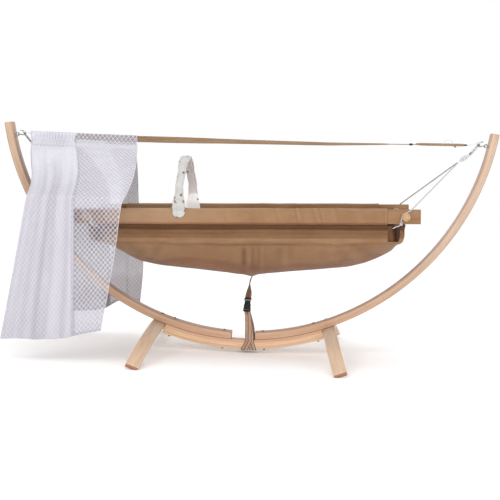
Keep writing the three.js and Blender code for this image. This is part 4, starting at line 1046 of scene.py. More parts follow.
# upright pleats above the pulled point
pleat = smooth(aG, 0.45, 0.62) * (1 - smooth(aG, 0.93, 1.0))
lean_ = (0.86 - aG) * 18
wr += bumps(X + lean_, [(-7, -1.2, 9), (6, 0.6, 5), (15, 1.1, 5.5), (27, -0.6, 7), (40, 0.3, 6), (50, -0.5, 6), (63, 0.9, 6), (76, -0.4, 7)]) * pleat * (G < 0)
wr += bumps(X - 0.5 * lean_, [(-10, 2.4, 6), (8, -2.2, 7), (30, 1.8, 6), (55, -1.4, 7)]) * pleat * (G > 0)
# slack creases along the side under the sleeve
wall2 = smooth(aG, 1.02, 1.06)
lie = lambda g0, k, ph: g0 + 0.012 * np.sin(X * k + ph) + 0.006 * np.sin(X * k * 2.7 + ph * 2)
wr += wall2 * (-2.6 * np.exp(-((aG - lie(1.77, 0.009, 0.3)) / 0.06) ** 2) + 0.9 * np.exp(-((aG - lie(1.60, 0.008, 1.2)) / 0.06) ** 2))
# painted shade in the hollows of the folds and a painted highlight on their ridges, from the fold depth
cav = wr.copy()
for ax, n_ in ((0, 9), (1, 5)):
    k_ = np.ones(n_) / n_
    cav = np.apply_along_axis(lambda q: np.convolve(np.pad(q, n_ // 2, mode="edge"), k_, "valid"), ax, cav)
    cav = np.apply_along_axis(lambda q: np.convolve(np.pad(q, n_ // 2, mode="edge"), k_, "valid"), ax, cav)
cav = cav - wr
line = lambda g0, w: np.exp(-((aG - g0) / w) ** 2)
vary = lambda k, ph: 0.65 + 0.35 * np.sin(X * k + ph)
crease = np.clip(0.15 * cav, -0.25, 0.5)
# painted shadow under the sleeve along the top of the side walls, painted shade along the crease lines below it with a
# lighter line beside one, and a general darkening of the walls and the floor
crease += wall2 * (0.74 * line(lie(1.775, 0.009, 0.3), 0.05) + 0.34 * smooth(aG, 1.70, 1.80) + 0.10 * line(1.60, 0.09))
crease += wall2 * (0.34 * vary(0.013, 0.4) * line(lie(1.175, 0.007, 0.6), 0.022) - 0.14 * line(lie(1.135, 0.007, 0.6), 0.02) + 0.22 * vary(0.02, 2) * line(lie(1.29, 0.010, 2.0), 0.03) + 0.15 * vary(0.017, 4) * line(lie(1.42, 0.012, 4.0), 0.04))
crease += wall2 * (0.30 * smooth(aG, 1.16, 1.34) + 0.16 * smooth(aG, 1.34, 1.5) + 0.10) + (0.08 + 0.10 * np.exp(-((X - 40) / 130) ** 2)) * (aG < 1)
# painted shade along the floor's edge with a lighter line beside it, at the chine, beside the pleats over the pulled
# point and along the diagonal wrinkles
crease += 0.50 * line(0.972 + 0.004 * np.sin(X * 0.02), 0.0075) * vary(0.009, 1.0) - 0.10 * line(0.985, 0.008)
crease += turn * (0.42 * np.exp(-np.clip(aG - gc, 0, 1) / 0.02) * (aG >= gc) * vary(0.015, 1.3) + 0.20 * np.exp(-np.clip(gc - aG, 0, 1) / 0.012) * (aG < gc))
crease += 0.42 * bumps(X + lean_, [(-7, 1.0, 9), (27, 0.35, 6), (51, 0.3, 5)]) * smooth(aG, 0.68, 0.76) * (1 - smooth(aG, 0.9, 0.97)) * (G < 0)
crease += 0.20 * np.exp(-(((X + 430) + 260 * (aG - 0.86)) / 22) ** 2) * pleat + 0.16 * np.exp(-(((X + 350) - 200 * (aG - 0.86)) / 18) ** 2) * pleat
crease += 0.16 * np.exp(-(((X - 470) + 260 * (aG - 0.86)) / 26) ** 2) * pleat + 0.14 * np.exp(-(((X - 395) - 160 * (aG - 0.86)) / 16) ** 2) * pleat
crease += 0.07 * fnoise(np.stack([X.ravel() * 0.006, G.ravel() * 2.0, 0 * X.ravel()], 1), 77, 3).reshape(X.shape)
P = P + out * wr[..., None]


def end_slope(P):
    """the ends lean out towards the rods, and the free edges waver a little"""
    x, z = P[..., 0], P[..., 2]
    k = np.interp(z, [-240, -122, -110, -93, -66, -40], [20, 17, 15, 8.5, 3.5, 0])
    k = k + 1.6 * np.sin(z * 0.11 + 0.6) * smooth(-z, 20, 50)
    P[..., 0] = x - np.sign(x) * k * smooth(np.abs(x), 556, 604)
    return P


P = end_slope(P)
nxg, ngg = X.shape
keep = []
for i in range(nxg - 1):
    xm = (GX[i] + GX[i + 1]) / 2
    notch = HEM_X < abs(xm) < STRIP_X
    for j in range(ngg - 1):
        gm = abs((gu[j] + gu[j + 1]) / 2)
        if notch and gm > 1.0:
            continue
        keep.append((i * ngg + j, (i + 1) * ngg + j, (i + 1) * ngg + j + 1, i * ngg + j + 1))
lay = np.stack([X.ravel(), np.cumsum(np.linalg.norm(np.diff(P, axis=1, prepend=P[:, :1]), axis=-1), axis=1).ravel(), np.zeros(X.size)], 1)
under = np.clip(1.25 - np.abs(G) * 1.25, 0, 1) ** 0.7
# painted shade: the floor is darkened and pinked inside the chine, and the side walls more towards the sleeve; the
# wedge adds painted shade at the top outer corner of each end strip
shade = (0.28 + 0.62 * (1 - smooth(aG, gc - 0.03, gc + 0.015))) * (aG < 1) + (0.24 + 0.4 * smooth(aG, 1.55, 1.85)) * (aG >= 1)
wedge_shade = (np.abs(X) > STRIP_X - 1) * smooth(np.abs(X) - (590 + 19 * (-33 - Z) / 33), -2, 2) * (Z > -72) * (aG > 1)
crease = crease + 0.95 * wedge_shade

bag_v, bag_f, bag_l, bag_s, bag_c = [P.reshape(-1, 3)], list(keep), [lay], [shade.ravel()], [crease.ravel()]
n0 = X.size
# end panels hung from the spreader rods
for s in (-1, 1):
    ys = np.linspace(-226, 226, 91)
    gs = np.sign(ys) * (np.abs(ys) / 226)
    yb, zb = tub_point(np.full(len(ys), s * END_X), gs)
    rows = 24
    F = np.linspace(0, 1, rows)
    Yg = np.repeat(ys[:, None], rows, 1)
    Zg = zb[:, None] + (-14 - zb[:, None]) * F[None]
    bulge = 3.0 * np.sin(math.pi * F)[None] * (1 - (Yg / 226) ** 4) + 1.4 * fnoise(np.stack([Yg.ravel() * 0.03, Zg.ravel() * 0.015, np.full(Yg.size, s * 5.0)], 1), 41, 3).reshape(Yg.shape) * np.sin(math.pi * F)[None]
    Xg = np.full(Yg.shape, s * END_X)
    slope_ = end_slope(np.stack([Xg, Yg, Zg], -1))
    Xg = slope_[..., 0] + s * (bulge * 0.6 - 1.0 * smooth(Zg, -40, -14))
    Q = np.stack([Xg, Yg, Zg], -1)
    base = n0
    bag_v.append(Q.reshape(-1, 3))
    for i in range(len(ys) - 1):
        for j in range(rows - 1):
            if abs(ys[i] + ys[i + 1]) / 2 > 214 and Zg[i, j] > -33:
                continue
            bag_f.append((base + i * rows + j, base + (i + 1) * rows + j, base + (i + 1) * rows + j + 1, base + i * rows + j + 1))
    bag_l.append(np.stack([Yg.ravel() + 2000 * s, Zg.ravel(), np.zeros(Yg.size)], 1))
    # painted shade: a light even shade on the end panels, darker at their top under the rod sleeves
    bag_s.append(np.full(Yg.size, 0.25))
    bag_c.append(0.10 * fnoise(np.stack([Yg.ravel() * 0.02, Zg.ravel() * 0.02, 0 * Yg.ravel()], 1), 43, 3) + 0.35 * smooth(Zg.ravel(), -44, -34))
    n0 += Yg.size
# corner tucks: the slack behind each notch, folded inwards
for s in (-1, 1):
    for t in (-1, 1):
        nu, nv_ = 26, 20
        U_, W_ = np.meshgrid(np.linspace(0, 1, nu), np.linspace(0, 1, nv_), indexing="ij")
        xx = HEM_X - 2 + (STRIP_X + 3 - HEM_X) * U_
        zz_ = -99 + (99 - 36) * W_
        deep = 34 * np.sin(math.pi * np.clip(U_, 0, 1)) ** 0.7 * (0.35 + 0.65 * W_) + 3.0 * np.sin(U_ * 9 + W_ * 3)
        yy = 223.2 - np.clip(deep, 0, 60)
        Q = end_slope(np.stack([xx * s, yy * t, zz_], -1))
        base = n0
        bag_v.append(Q.reshape(-1, 3))
        for i in range(nu - 1):
            for j in range(nv_ - 1):
                bag_f.append((base + i * nv_ + j, base + (i + 1) * nv_ + j, base + (i + 1) * nv_ + j + 1, base + i * nv_ + j + 1))
        bag_l.append(np.stack([xx.ravel(), zz_.ravel(), 0 * xx.ravel()], 1))
        # painted shade: the tucks darken strongly towards the end strip and are lighter at the top on the hem side, in
        # a wavy pattern
        bag_s.append((1.4 + 2.4 * smooth(U_, 0.15, 0.85) - 0.8 * smooth(W_, 0.55, 1.0) * (1 - U_) + 0.5 * np.sin(U_ * 11 + W_ * 2)).ravel())
        bag_c.append((0.25 + 0.35 * smooth(U_, 0.35, 0.6)).ravel())
        n0 += xx.size
V_ = to_world(np.concatenate(bag_v))
ob = make("bed_canvas", V_, bag_f, m_canvas, "bed", lay=np.concatenate(bag_l), stands=["bed_tub", "near_side_panel", "far_side_panel"], slot="canvas", flip=False, sharp=0)
shade_attr(ob, np.concatenate(bag_s), np.concatenate(bag_c))
bm = bmesh.new()
bm.from_mesh(ob.data)
loose = [w for w in bm.verts if not w.link_faces]
bmesh.ops.delete(bm, geom=loose, context="VERTS")
bmesh.ops.remove_doubles(bm, verts=bm.verts[:], dist=0.0006)
bmesh.ops.recalc_face_normals(bm, faces=bm.faces[:])
bm.to_mesh(ob.data)
bm.free()
sd = ob.modifiers.new("thick", "SOLIDIFY")
sd.thickness, sd.offset = 0.0014, -1

# end sleeves round the rods
for side, s in (("left", -1), ("right", 1)):
    ys = np.linspace(-213, 213, 120)
    rings, lay = [], []
    for y in ys:
        a = np.linspace(math.radians(-38), math.radians(322), 44)
        r = 13.6 + 0.7 * fnoise(np.stack([np.full(44, y * 0.03), np.cos(a), np.sin(a)], 1), 51, 2)
        px_, pz_ = r * np.cos(a), r * np.sin(a)
        rings.append(np.stack([s * (607 + px_), np.full(44, y), pz_], 1))
        lay.append(np.stack([np.full(44, y), a * 14, np.zeros(44)], 1))
    nn = 44
    v = np.concatenate(rings)
    f = [(j * nn + i, j * nn + i + 1, (j + 1) * nn + i + 1, (j + 1) * nn + i) for j in range(len(ys) - 1) for i in range(nn - 1)]
    ob = make(f"{side}_end_sleeve_canvas", to_world(v), f, m_canvas, "bed", lay=np.concatenate(lay), stands=[f"{side}_end_sleeve"], slot="canvas", sharp=0, flip=False)
    shade_attr(ob, np.full(len(v), 0.1))
    sd = ob.modifiers.new("thick", "SOLIDIFY")
    sd.thickness, sd.offset = 0.0012, 0

# --------------------------------------------------------------- play arch
AX_, AY_, ATOP, AFOOT = -253.0, 246.0, 225.7, 58.0


def pad_section(w, t, k=0.0):
    n = 36
    a = np.arange(n) / n * 2 * np.pi
    c, sn = np.cos(a), np.sin(a)
    x = w / 2 * np.sign(c) * np.abs(c) ** 0.72
    y = t / 2 * np.sign(sn) * np.abs(sn) ** 0.8
    y = y * (1 - 0.55 * np.exp(-((np.abs(x) - (w / 2 - 5.2)) / 1.5) ** 2))
    return np.stack([x, y], 1)


def arch_at(f):
    """pointed oval: the legs lean in to a rounded crown"""
    t = math.pi * (1 - f)
    c, k = math.cos(t), 2 / 1.5
    return AY_ * math.copysign(abs(c) ** k, c), AFOOT + (ATOP - AFOOT) * max(0.0, math.sin(t)) ** k


W_NEAR = [[58, 45], [68, 41], [84, 33], [120, 30.5], [165, 31], [195, 36], [214, 42], [226, 45]]
W_FAR = [[58, 45], [70, 42], [90, 38], [150, 36], [190, 37], [214, 42], [226, 45]]
arc = []
for z, w in ((35.4, 9), (37.0, 19), (40.5, 29), (46, 38), (52, 43.0)):
    arc.append((A(AX_, -AY_, z), A(0, -1, 0), w, 6 if z < 36 else 9 if z < 42 else 11.4))
NA = 150
for i in range(NA + 1):
    f = i / NA
    y, z = arch_at(f)
    (ya, za), (yb, zb) = arch_at(max(0, f - 0.004)), arch_at(min(1, f + 0.004))
    nr = unit(A(0, -(zb - za), yb - ya))
    if i in (0, NA):
        nr = A(0, math.copysign(1, y), 0)
    w = interp(z, W_NEAR if y < 0 else W_FAR)
    th = interp(z, [[58, 11.4], [90, 12.6], [226, 13.4]])
    arc.append((A(AX_, y, z), nr, float(w), float(th)))
for z, w in ((52, 43.0), (46, 38), (40.5, 29), (37.0, 19), (35.4, 9)):
    arc.append((A(AX_, AY_, z), A(0, 1, 0), w, 6 if z < 36 else 9 if z < 42 else 11.4))
rings, lay = [], []
S = 0.0
CREASES = [(152, 1.6, 5), (166, 1.1, 4), (262, 1.5, 5), (300, 1.3, 4), (345, 1.0, 4), (388, 1.5, 5), (470, 1.2, 5), (520, 1.4, 4)]
for k, (c, nr, w, th) in enumerate(arc):
    if k:
        S += np.linalg.norm(c - arc[k - 1][0])
    sec = pad_section(w, th)
    lump = fnoise(np.stack([sec[:, 0] * 0.05, np.full(len(sec), S * 0.03), np.sign(sec[:, 1])], 1), 61, 3)
    crease = sum(-a * np.exp(-((S - s0 + sec[:, 0] * 0.35 * (1 if j % 2 else -1)) / wd) ** 2) for j, (s0, a, wd) in enumerate(CREASES))
    inner = np.abs(sec[:, 0]) < w / 2 - 4
    sec = sec * (1 + (lump * 0.05)[:, None])
    sec[:, 1] += np.sign(sec[:, 1]) * (lump * 0.9 + crease * 0.9) * inner
    sec[:, 0] += 1.1 * math.sin(S * 0.047) + 0.7 * math.sin(S * 0.11 + 1)
    rings.append(ring(c, A(1, 0, 0), nr, sec))
    lay.append(np.stack([np.full(len(sec), S), sec[:, 0] + np.where(sec[:, 1] < 0, 160, 0), sec[:, 1] * 0], 1))
v, f = loft(rings)
ob = make("play_arch_cotton", to_world(v), f, m_cotton, "arch", lay=np.concatenate(lay), stands=["play_arch"], slot="cotton", sharp=0)
# painted light on the arch's inner face
at = ob.data.attributes.new("painted_inner_light", "FLOAT", "POINT")
at.data.foreach_set("value", np.clip(np.concatenate([-np.sign(pad_section(40, 12)[:, 1]) * np.clip(np.abs(pad_section(40, 12)[:, 1]) / 2, 0, 1)] * len(arc)), 0, 1))


def rect_sec(w, t, n=14):
    """soft flat section with rolled edges"""
    xs_ = np.concatenate([np.linspace(-1, 1, n), np.linspace(1, -1, n)])
    e = np.clip(1 - np.abs(xs_), 0, 1)
    th_ = t / 2 * (0.45 + 0.55 * np.minimum(1, e / 0.12)) * (1 - 0.35 * np.exp(-((e - 0.13) / 0.035) ** 2))
    return np.stack([xs_ * w / 2, np.where(np.arange(2 * n) < n, -th_, th_)], 1)


for side, t in (("near", -1), ("far", 1)):
    bag = Bag()
    # outer tab: rounded end, stitched, covering the end of the arch
    pts = spline([[AX_, 245.4, -4.7], [AX_, 245.4, 10], [AX_, 245.5, 18], [AX_, 247.2, 24], [AX_, 252.2, 30.5], [AX_, 254.6, 38], [AX_, 255.0, 48], [AX_, 254.6, 62.5]], 1.4)
    T_, U_, W_ = frames(pts, hint=A(1, 0, 0))
    rings, lay = [], []
    S = 0.0
    for k, c in enumerate(pts):
        if k:
            S += np.linalg.norm(c - pts[k - 1])
        lo = c[2] + 4.7
        w = 47.5 * math.sqrt(max(0.0, 1 - ((20 - lo) / 20) ** 2)) if lo < 20 else float(interp(c[2], [[15, 47.5], [34, 46.5], [52, 44.5], [62, 43]]))
        w = max(w, 8)
        th = 2.8 if 3 < lo < 64 else 1.9
        st = -0.9 * math.exp(-((S - 14.5) / 1.1) ** 2) - 0.6 * math.exp(-((S - 62) / 1.2) ** 2)
        sec = rect_sec(w, th + st)
        sec[:, 1] += 0.5 * fnoise(np.stack([sec[:, 0] * 0.07, np.full(len(sec), S * 0.05), np.full(len(sec), t * 3.0)], 1), 71, 2)
        nr = unit(np.cross(T_[k], A(1, 0, 0)))
        rings.append(ring(A(c[0], t * c[1], c[2]), A(1, 0, 0), A(0, t * nr[1], nr[2]), sec))
        lay.append(np.stack([np.full(len(sec), S + 50 * t), sec[:, 0] + 500, 0 * sec[:, 0]], 1))
    v, f = loft(rings)
    bag.add(v, f, np.concatenate(lay))
    # saddle over the sleeve
    pts = spline([[AX_, 246, 29], [AX_, 244.6, 33.0], [AX_, 240, 33.4], [AX_, 222, 33.4], [AX_, 217.4, 32.6], [AX_, 215.4, 29]], 1.6)
    T_, U_, W_ = frames(pts, hint=A(1, 0, 0))
    rings = []
    for k, c in enumerate(pts):
        nr = unit(np.cross(T_[k], A(1, 0, 0)))
        rings.append(ring(A(c[0], t * c[1], c[2]), A(1, 0, 0), A(0, t * nr[1], nr[2]), rect_sec(46.5, 2.0)))
    v, f = loft(rings)
    bag.add(v, f, v + A(60, 300, 0))
    # gathered flap on the inner side: narrow at its top, pleats opening downwards
    rows_, cols_ = 34, 60
    grids = []
    for face in (0, 1):
        G_ = []
        for i in range(rows_):
            q = i / (rows_ - 1)
            z = 72.5 - (72.5 + 6) * q
            x0 = float(interp(z, [[-6, -34], [33, -30], [50, -24], [72.5, -13]]))
            x1 = float(interp(z, [[-6, 34], [33, 30], [50, 27], [72.5, 23.5]]))
            y = float(interp(z, [[-6, 214.9], [30, 215.0], [40, 216.2], [72.5, 226]]))
            u_ = np.linspace(0, 1, cols_)
            pl = (0.35 + 1.5 * q ** 0.7) * np.sin(2 * np.pi * (u_ * 5.6 + 0.25 * math.sin(q * 3)) + 0.5) * (1 if z > 34 else 0.45)
            G_.append(np.stack([AX_ + x0 + (x1 - x0) * u_, t * (y + pl * 0.55 + (1.1 if face else -1.1)), z + 1.8 * np.sin(u_ * 2 * np.pi * 5.6) * (1 - q) ** 4 - 4.5 * (1 - np.sin(u_ * np.pi)) * (1 - q) ** 3], 1))
        grids.append(np.array(G_))
    N_ = rows_ * cols_
    vv = np.concatenate([grids[0].reshape(-1, 3), grids[1].reshape(-1, 3)])
    ff = []
    for i in range(rows_ - 1):
        for j in range(cols_ - 1):
            a_ = i * cols_ + j
            ff.append((a_, a_ + 1, a_ + cols_ + 1, a_ + cols_))
            ff.append((N_ + a_, N_ + a_ + cols_, N_ + a_ + cols_ + 1, N_ + a_ + 1))
    edge = [(0, j) for j in range(cols_)] + [(i, cols_ - 1) for i in range(1, rows_)] + [(rows_ - 1, j) for j in range(cols_ - 2, -1, -1)] + [(i, 0) for i in range(rows_ - 2, 0, -1)]
    for k in range(len(edge)):
        (i0, j0), (i1, j1) = edge[k], edge[(k + 1) % len(edge)]
        a_, b_ = i0 * cols_ + j0, i1 * cols_ + j1
        ff.append((b_, a_, N_ + a_, N_ + b_))
    outer_n = bag.n
    bag.add(vv, ff, np.stack([vv[:, 2] + 140, vv[:, 0] + 800 + 300 * t, 0 * vv[:, 0]], 1))
    bag.make(f"{side}_tab_cotton", m_cotton, "bed", stands=[f"{side}_arch_tab"], slot="cotton", sharp=0)
    ob = bpy.data.objects[f"{side}_tab_cotton"]
    # painted light on the whole gathered flap
    at = ob.data.attributes.new("painted_inner_light", "FLOAT", "POINT")
    at.data.foreach_set("value", (np.arange(len(ob.data.vertices)) >= outer_n).astype(float))
    ob.data.transform(Matrix.Translation((BX * MM, 0, BZ * MM)) @ Matrix.Rotation(BT, 4, "Y"))

# ------------------------------------------------------------------ tether
TX = 12.3


def band(P, W, w, t, lay0=0.0, seg=3, closed=False):
    """webbing along P with a width direction for each point"""
    P = np.asarray(P, float)
    T, U_, W_ = frames(P, closed)
    sec = rrect(w, t, t / 2 - 0.05, seg)
    S = np.concatenate([[0], np.cumsum(np.linalg.norm(np.diff(P, axis=0), axis=1))]) + lay0
    rings, lay = [], []
    for j in range(len(P)):
        wd = unit(np.asarray(W[j]) - np.dot(W[j], T[j]) * T[j])
        nr = np.cross(T[j], wd)
        rings.append(ring(P[j], wd, nr, sec))
        lay.append(np.stack([np.full(len(sec), S[j]), sec[:, 0], sec[:, 1]], 1))
    v, f = loft(rings, closed)
    return v, f, np.concatenate(lay)


X_ = A(1, 0, 0)


def lean(p):
    """the buckle hangs a few degrees out of plumb"""
    p = np.asarray(p, float).copy()
    p[..., 0] += 0.07 * np.clip(p[..., 2] - 194, -30, 32)
    return p


# two turns round the beam that part below their crossing
bag = Bag()
for top, low, off in ((21, 5.6, 1.3), (31, 39.9, 0.0)):
    y1 = 26.9 + off
    P = spline([[top, -y1, 58], [top, -y1, 46], [low + (top - low) * 0.35, -y1, 26], [low, -y1 - 0.4, 15.5 - off], [low, -24.4, 13.0 - off], [low, 0, 12.8 - off],
                [low, 24.4, 13.0 - off], [low, y1 + 0.4, 15.5 - off], [low + (top - low) * 0.35, y1, 26], [top, y1, 46], [top, y1, 58]], 2.2)
    v, f, l = band(P, [X_] * len(P), 26 if off else 27, 1.9)
    bag.add(v, f, l)
bag.make("beam_wrap_webbing", m_web_low, "stand", stands=["tether_beam_wrap"], slot="webbing", sharp=50)
bag = Bag()
LOOP = [
    [[21, -28.8, 50], [20.6, -28.9, 66], [19.4, -19.6, 106], [17.2, -11.6, 146], [15.2, -9.2, 162]],
    [[31, -27.2, 50], [30.2, -27.0, 66], [24.6, -17.6, 106], [17.4, -9.6, 146], [14.2, -7.0, 163]],
]
FAR = [[14.0, 7.8, 163], [18.2, 10.6, 146], [29.0, 18.4, 106], [33.0, 27.4, 66], [33.4, 28.3, 50]]
front = spline(LOOP[0][:-1] + [[15.6, -7.0, 157.2], [14.0, 0.6, 163.0], [12.4, 6.6, 167.2], [11.4, 7.3, 171.6], [11.0, 4.6, 174.2], [10.9, -1.4, 174.2]], 2.0)
v, f, l = band(front, [X_] * len(front), 25, 1.8)
bag.add(v, f, l)
back = spline(LOOP[1][:-1] + [[16.2, -4.6, 156.8], [14.6, 2.2, 161.2]], 2.0)
v, f, l = band(back, [X_] * len(back), 24, 1.7, lay0=300)
bag.add(v, f, l)
turn = spline([[11.2, 9.4, 174.4], [12.0, 9.6, 168.4], [14.0, 9.4, 161.4]] + FAR[1:], 2.0)
v, f, l = band(turn, [X_] * len(turn), 24.6, 1.8, lay0=500)
bag.add(v, f, l)
loop = bag.make("lower_loop_webbing", m_web_low, None, stands=["tether_lower_loop"], slot="webbing", sharp=50)
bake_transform(loop)

# strap between buckle and bed: eye through the male half, then a quarter twist
bag = Bag()
eyeP = spline([[TX + 1.6, 1.4, 228.5], [TX + 0.6, 4.8, 225.2], [TX, 6.0, 221.4], [TX, 5.8, 217.8], [TX, 3.4, 215.7], [TX, -2.4, 215.5]], 1.4)
v, f, l = band(eyeP, [X_] * len(eyeP), 24.4, 1.7)
bag.add(lean(v), f, l)
P, W = [], []
RISE = spline([[TX + 2.2, 0, 225.2], [TX + 4.4, 0, 236], [18.4, 0, 258], [19.6, 0, 280], [22.2, 0, 296], [26.0, 0, 306], [28.3, 0, 312.2]], 2.0)
for c in RISE:
    q = (c[2] - 225.2) / 87
    tw = math.radians(90 * (0.55 * smooth(q, -0.3, 0.86) + 0.45 * smooth(q, 0.0, 0.66)))
    P.append(c)
    W.append(A(math.cos(tw), math.sin(tw), 0))
v, f, l = band(P, W, 25, 2)
bag.add(v, f, l)
strap = bag.make("bed_strap_webbing", m_web_up, "tether", stands=["tether_bed_strap"], slot="webbing", sharp=50)
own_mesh(strap)

# sewn end of the strap, part of the bed
P = spline([[20.6, 0, 287.5], [23.2, 0, 299], [26.2, 0, 306.4], [28.4, 0, 313.5], [28.4, 0, 318]], 1.6)
v, f, l = band(P, [A(0, 1, 0)] * len(P), 26.4, 4.4)
make("strap_end_webbing", v, f, m_web_up, "bed", lay=l, slot="webbing", sharp=50)


# buckle halves
def boolean(ob, cutter, op="DIFFERENCE"):
    md = ob.modifiers.new("cut", "BOOLEAN")
    md.operation, md.solver, md.object = op, "EXACT", cutter
    bpy.context.view_layer.update()
    ev = ob.evaluated_get(bpy.context.evaluated_depsgraph_get())
    me = bpy.data.meshes.new_from_object(ev)
    ob.modifiers.remove(md)
    old = ob.data
    ob.data = me
    bpy.data.meshes.remove(old)


def temp(name, v, f):
    v = np.asarray(v, float)
    if volume(v, f) < 0:
        f = [tuple(reversed(q)) for q in f]
    me = bpy.data.meshes.new(name)
    me.from_pydata((v * MM).tolist(), [], f)
    ob = bpy.data.objects.new(name, me)
    scene.collection.objects.link(ob)
    return ob


def done(name, ob, mat, body, stands, sharp=40):
    me = ob.data
    me.materials.clear()
    me.materials.append(mat)
    me.polygons.foreach_set("use_smooth", [True] * len(me.polygons))
    me.set_sharp_from_angle(angle=math.radians(sharp))
    co = np.empty(len(me.vertices) * 3)
    me.vertices.foreach_get("co", co)
    at = me.attributes.new("lay", "FLOAT_VECTOR", "POINT")
    at.data.foreach_set("vector", co)
    w_ = co.reshape(-1, 3) / MM
    me.vertices.foreach_set("co", (lean(w_) * MM).ravel())
    me.update()
    ob.name = name
    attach(ob, body)
    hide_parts(*stands)
    return ob


def taper(sections, r):
    """(z, half width, half depth) up a buckle half"""
    rings = []
    for z, hx, hy in sections:
        q = rrect(2 * hx, 2 * hy, min(r, hy - 0.2), 4)
        rings.append(np.stack([TX + q[:, 0], q[:, 1], np.full(len(q), z)], 1))
    return loft(rings)


fem = temp("fem", *taper([(167.4, 13.6, 3.8), (168.0, 14.8, 4.8), (169.2, 15.4, 5.4), (176, 15.5, 5.5), (180, 14.8, 5.5), (186, 14.0, 5.5), (191, 14.2, 5.5), (196.5, 13.8, 5.4), (198.0, 13.2, 4.9), (198.4, 12.6, 4.4)], 3))
for x0, x1, y0, y1, zz0, zz1 in ((-13, 13, -10, 10, 171.4, 176.6), (-12, 12, -3.2, 3.2, 179.6, 205), (-20, 20, -3.2, 3.2, 183, 191)):
    q = rrect(x1 - x0, zz1 - zz0, 1.2, 3)
    cut = temp("cut", *loft([np.stack([TX + q[:, 0], np.full(len(q), y), (zz0 + zz1) / 2 + q[:, 1]], 1) for y in (y0, y1)]))
    boolean(fem, cut)
    bpy.data.objects.remove(cut)
done("buckle_female_moulded", fem, m_black, "tether", ["buckle_female"])

male = temp("male", *taper([(198.9, 11.0, 3.4), (199.3, 11.8, 4.0), (203, 12.2, 4.2), (208, 11.6, 4.2), (211, 12.6, 4.2), (213.5, 14.6, 4.2), (218, 15.0, 4.2), (221.2, 14.8, 4.1), (222.0, 14.0, 3.6), (222.2, 13.2, 3.0)], 2.4))
q = rrect(26, 4.6, 1.2, 3)
cut = temp("cut", *loft([np.stack([TX + q[:, 0], np.full(len(q), y), 215.5 + q[:, 1]], 1) for y in (-10, 10)]))
boolean(male, cut)
bpy.data.objects.remove(cut)
for s in (-1, 1):
    pr = []
    for z, a, b2 in ((200.5, 4.4, 9.4), (194, 5.2, 9.8), (190.5, 6.3, 11.4), (187.5, 6.9, 11.5), (184.5, 7.3, 10.6), (182, 7.7, 9.8), (181, 8.0, 9.4)):
        q = rrect(b2 - a, 5.0, 0.8, 3)
        pr.append(np.stack([TX + s * (a + b2) / 2 + q[:, 0], q[:, 1], np.full(len(q), z)], 1))
    pg = temp("prong", *loft(pr))
    boolean(male, pg, "UNION")
    bpy.data.objects.remove(pg)
pg = temp("guide", *taper([(200.5, 1.6, 1.5), (186, 1.6, 1.5), (185, 1.2, 1.1)][::-1], 0.9))
boolean(male, pg, "UNION")
bpy.data.objects.remove(pg)
done("buckle_male_moulded", male, m_black, "male_half", ["buckle_male"])

# --------------------------------------------------------------------- net
slope = (845.4 - 633.6) / (336 - 14.6)
NROWS = [  # distance is found from y and z: y, z, left x, near right x, far right x, ridge share
    [0, 876.4, -887, -452.5, -452.5, 1], [4.5, 875.4, -887, -452.5, -453, 1], [7.4, 870.5, -887, -452, -454, 1], [8.6, 862, -886, -451, -455, 1],
    [9.0, 852, -885, -450, -456, 1], [13.5, 843.6, -881, -448, -458, 1], [34, 845.4 - 19.4 * slope - 1, -874, -444, -462, 0.9],
    [60, 845.4 - 45.4 * slope - 2, -869, -440, -466, 0.8], [100, 845.4 - 85.4 * slope - 2, -860, -435, -470, 0.65],
    [130, 845.4 - 115.4 * slope - 2, -850, -431, -474, 0.5], [170, 845.4 - 155.4 * slope - 2, -838, -428, -479, 0.4], [230, 845.4 - 215.4 * slope - 2, -818, -426, -487, 0.2],
    [300, 845.4 - 285.4 * slope - 2, -805.5, -431, -496, 0.05], [325, 845.4 - 310.4 * slope - 2, -804, -434, -500, 0],
    [338, 629, -805, -438, -502, 0], [344, 608, -809, -447, -502, -1], [346, 440, -838, -466, -478, -1], [349, 260, -869, -491, -476, -1], [351, 86, -900, -517, -487, -1]]
NR = np.array(NROWS, float)
seg = np.concatenate([[0], np.cumsum(np.hypot(np.diff(NR[:, 0]), np.diff(NR[:, 1])))])
VMAX = seg[-1]


def pchip(x, xp, fp):
    """smooth through the points without overshoot"""
    x = np.asarray(x, float)
    h = np.diff(xp)
    d = np.diff(fp) / h
    m = np.zeros(len(xp))
    m[1:-1] = np.where(d[:-1] * d[1:] > 0, 2 * d[:-1] * d[1:] / np.where(d[:-1] + d[1:] == 0, 1, d[:-1] + d[1:]), 0)
    m[0], m[-1] = d[0], d[-1]
    i = np.clip(np.searchsorted(xp, x) - 1, 0, len(h) - 1)
    t = (x - xp[i]) / h[i]
    return fp[i] * (2 * t ** 3 - 3 * t ** 2 + 1) + m[i] * h[i] * (t ** 3 - 2 * t ** 2 + t) + fp[i + 1] * (-2 * t ** 3 + 3 * t ** 2) + m[i + 1] * h[i] * (t ** 3 - t ** 2)


def net_bottom(X, side):
    return np.where(side < 0, np.interp(X, [-900, -690, -600, -517], [85, 88, 108, 128]), np.interp(X, [-900, -690, -640, -586, -478], [85, 95, 108, 141, 140]))


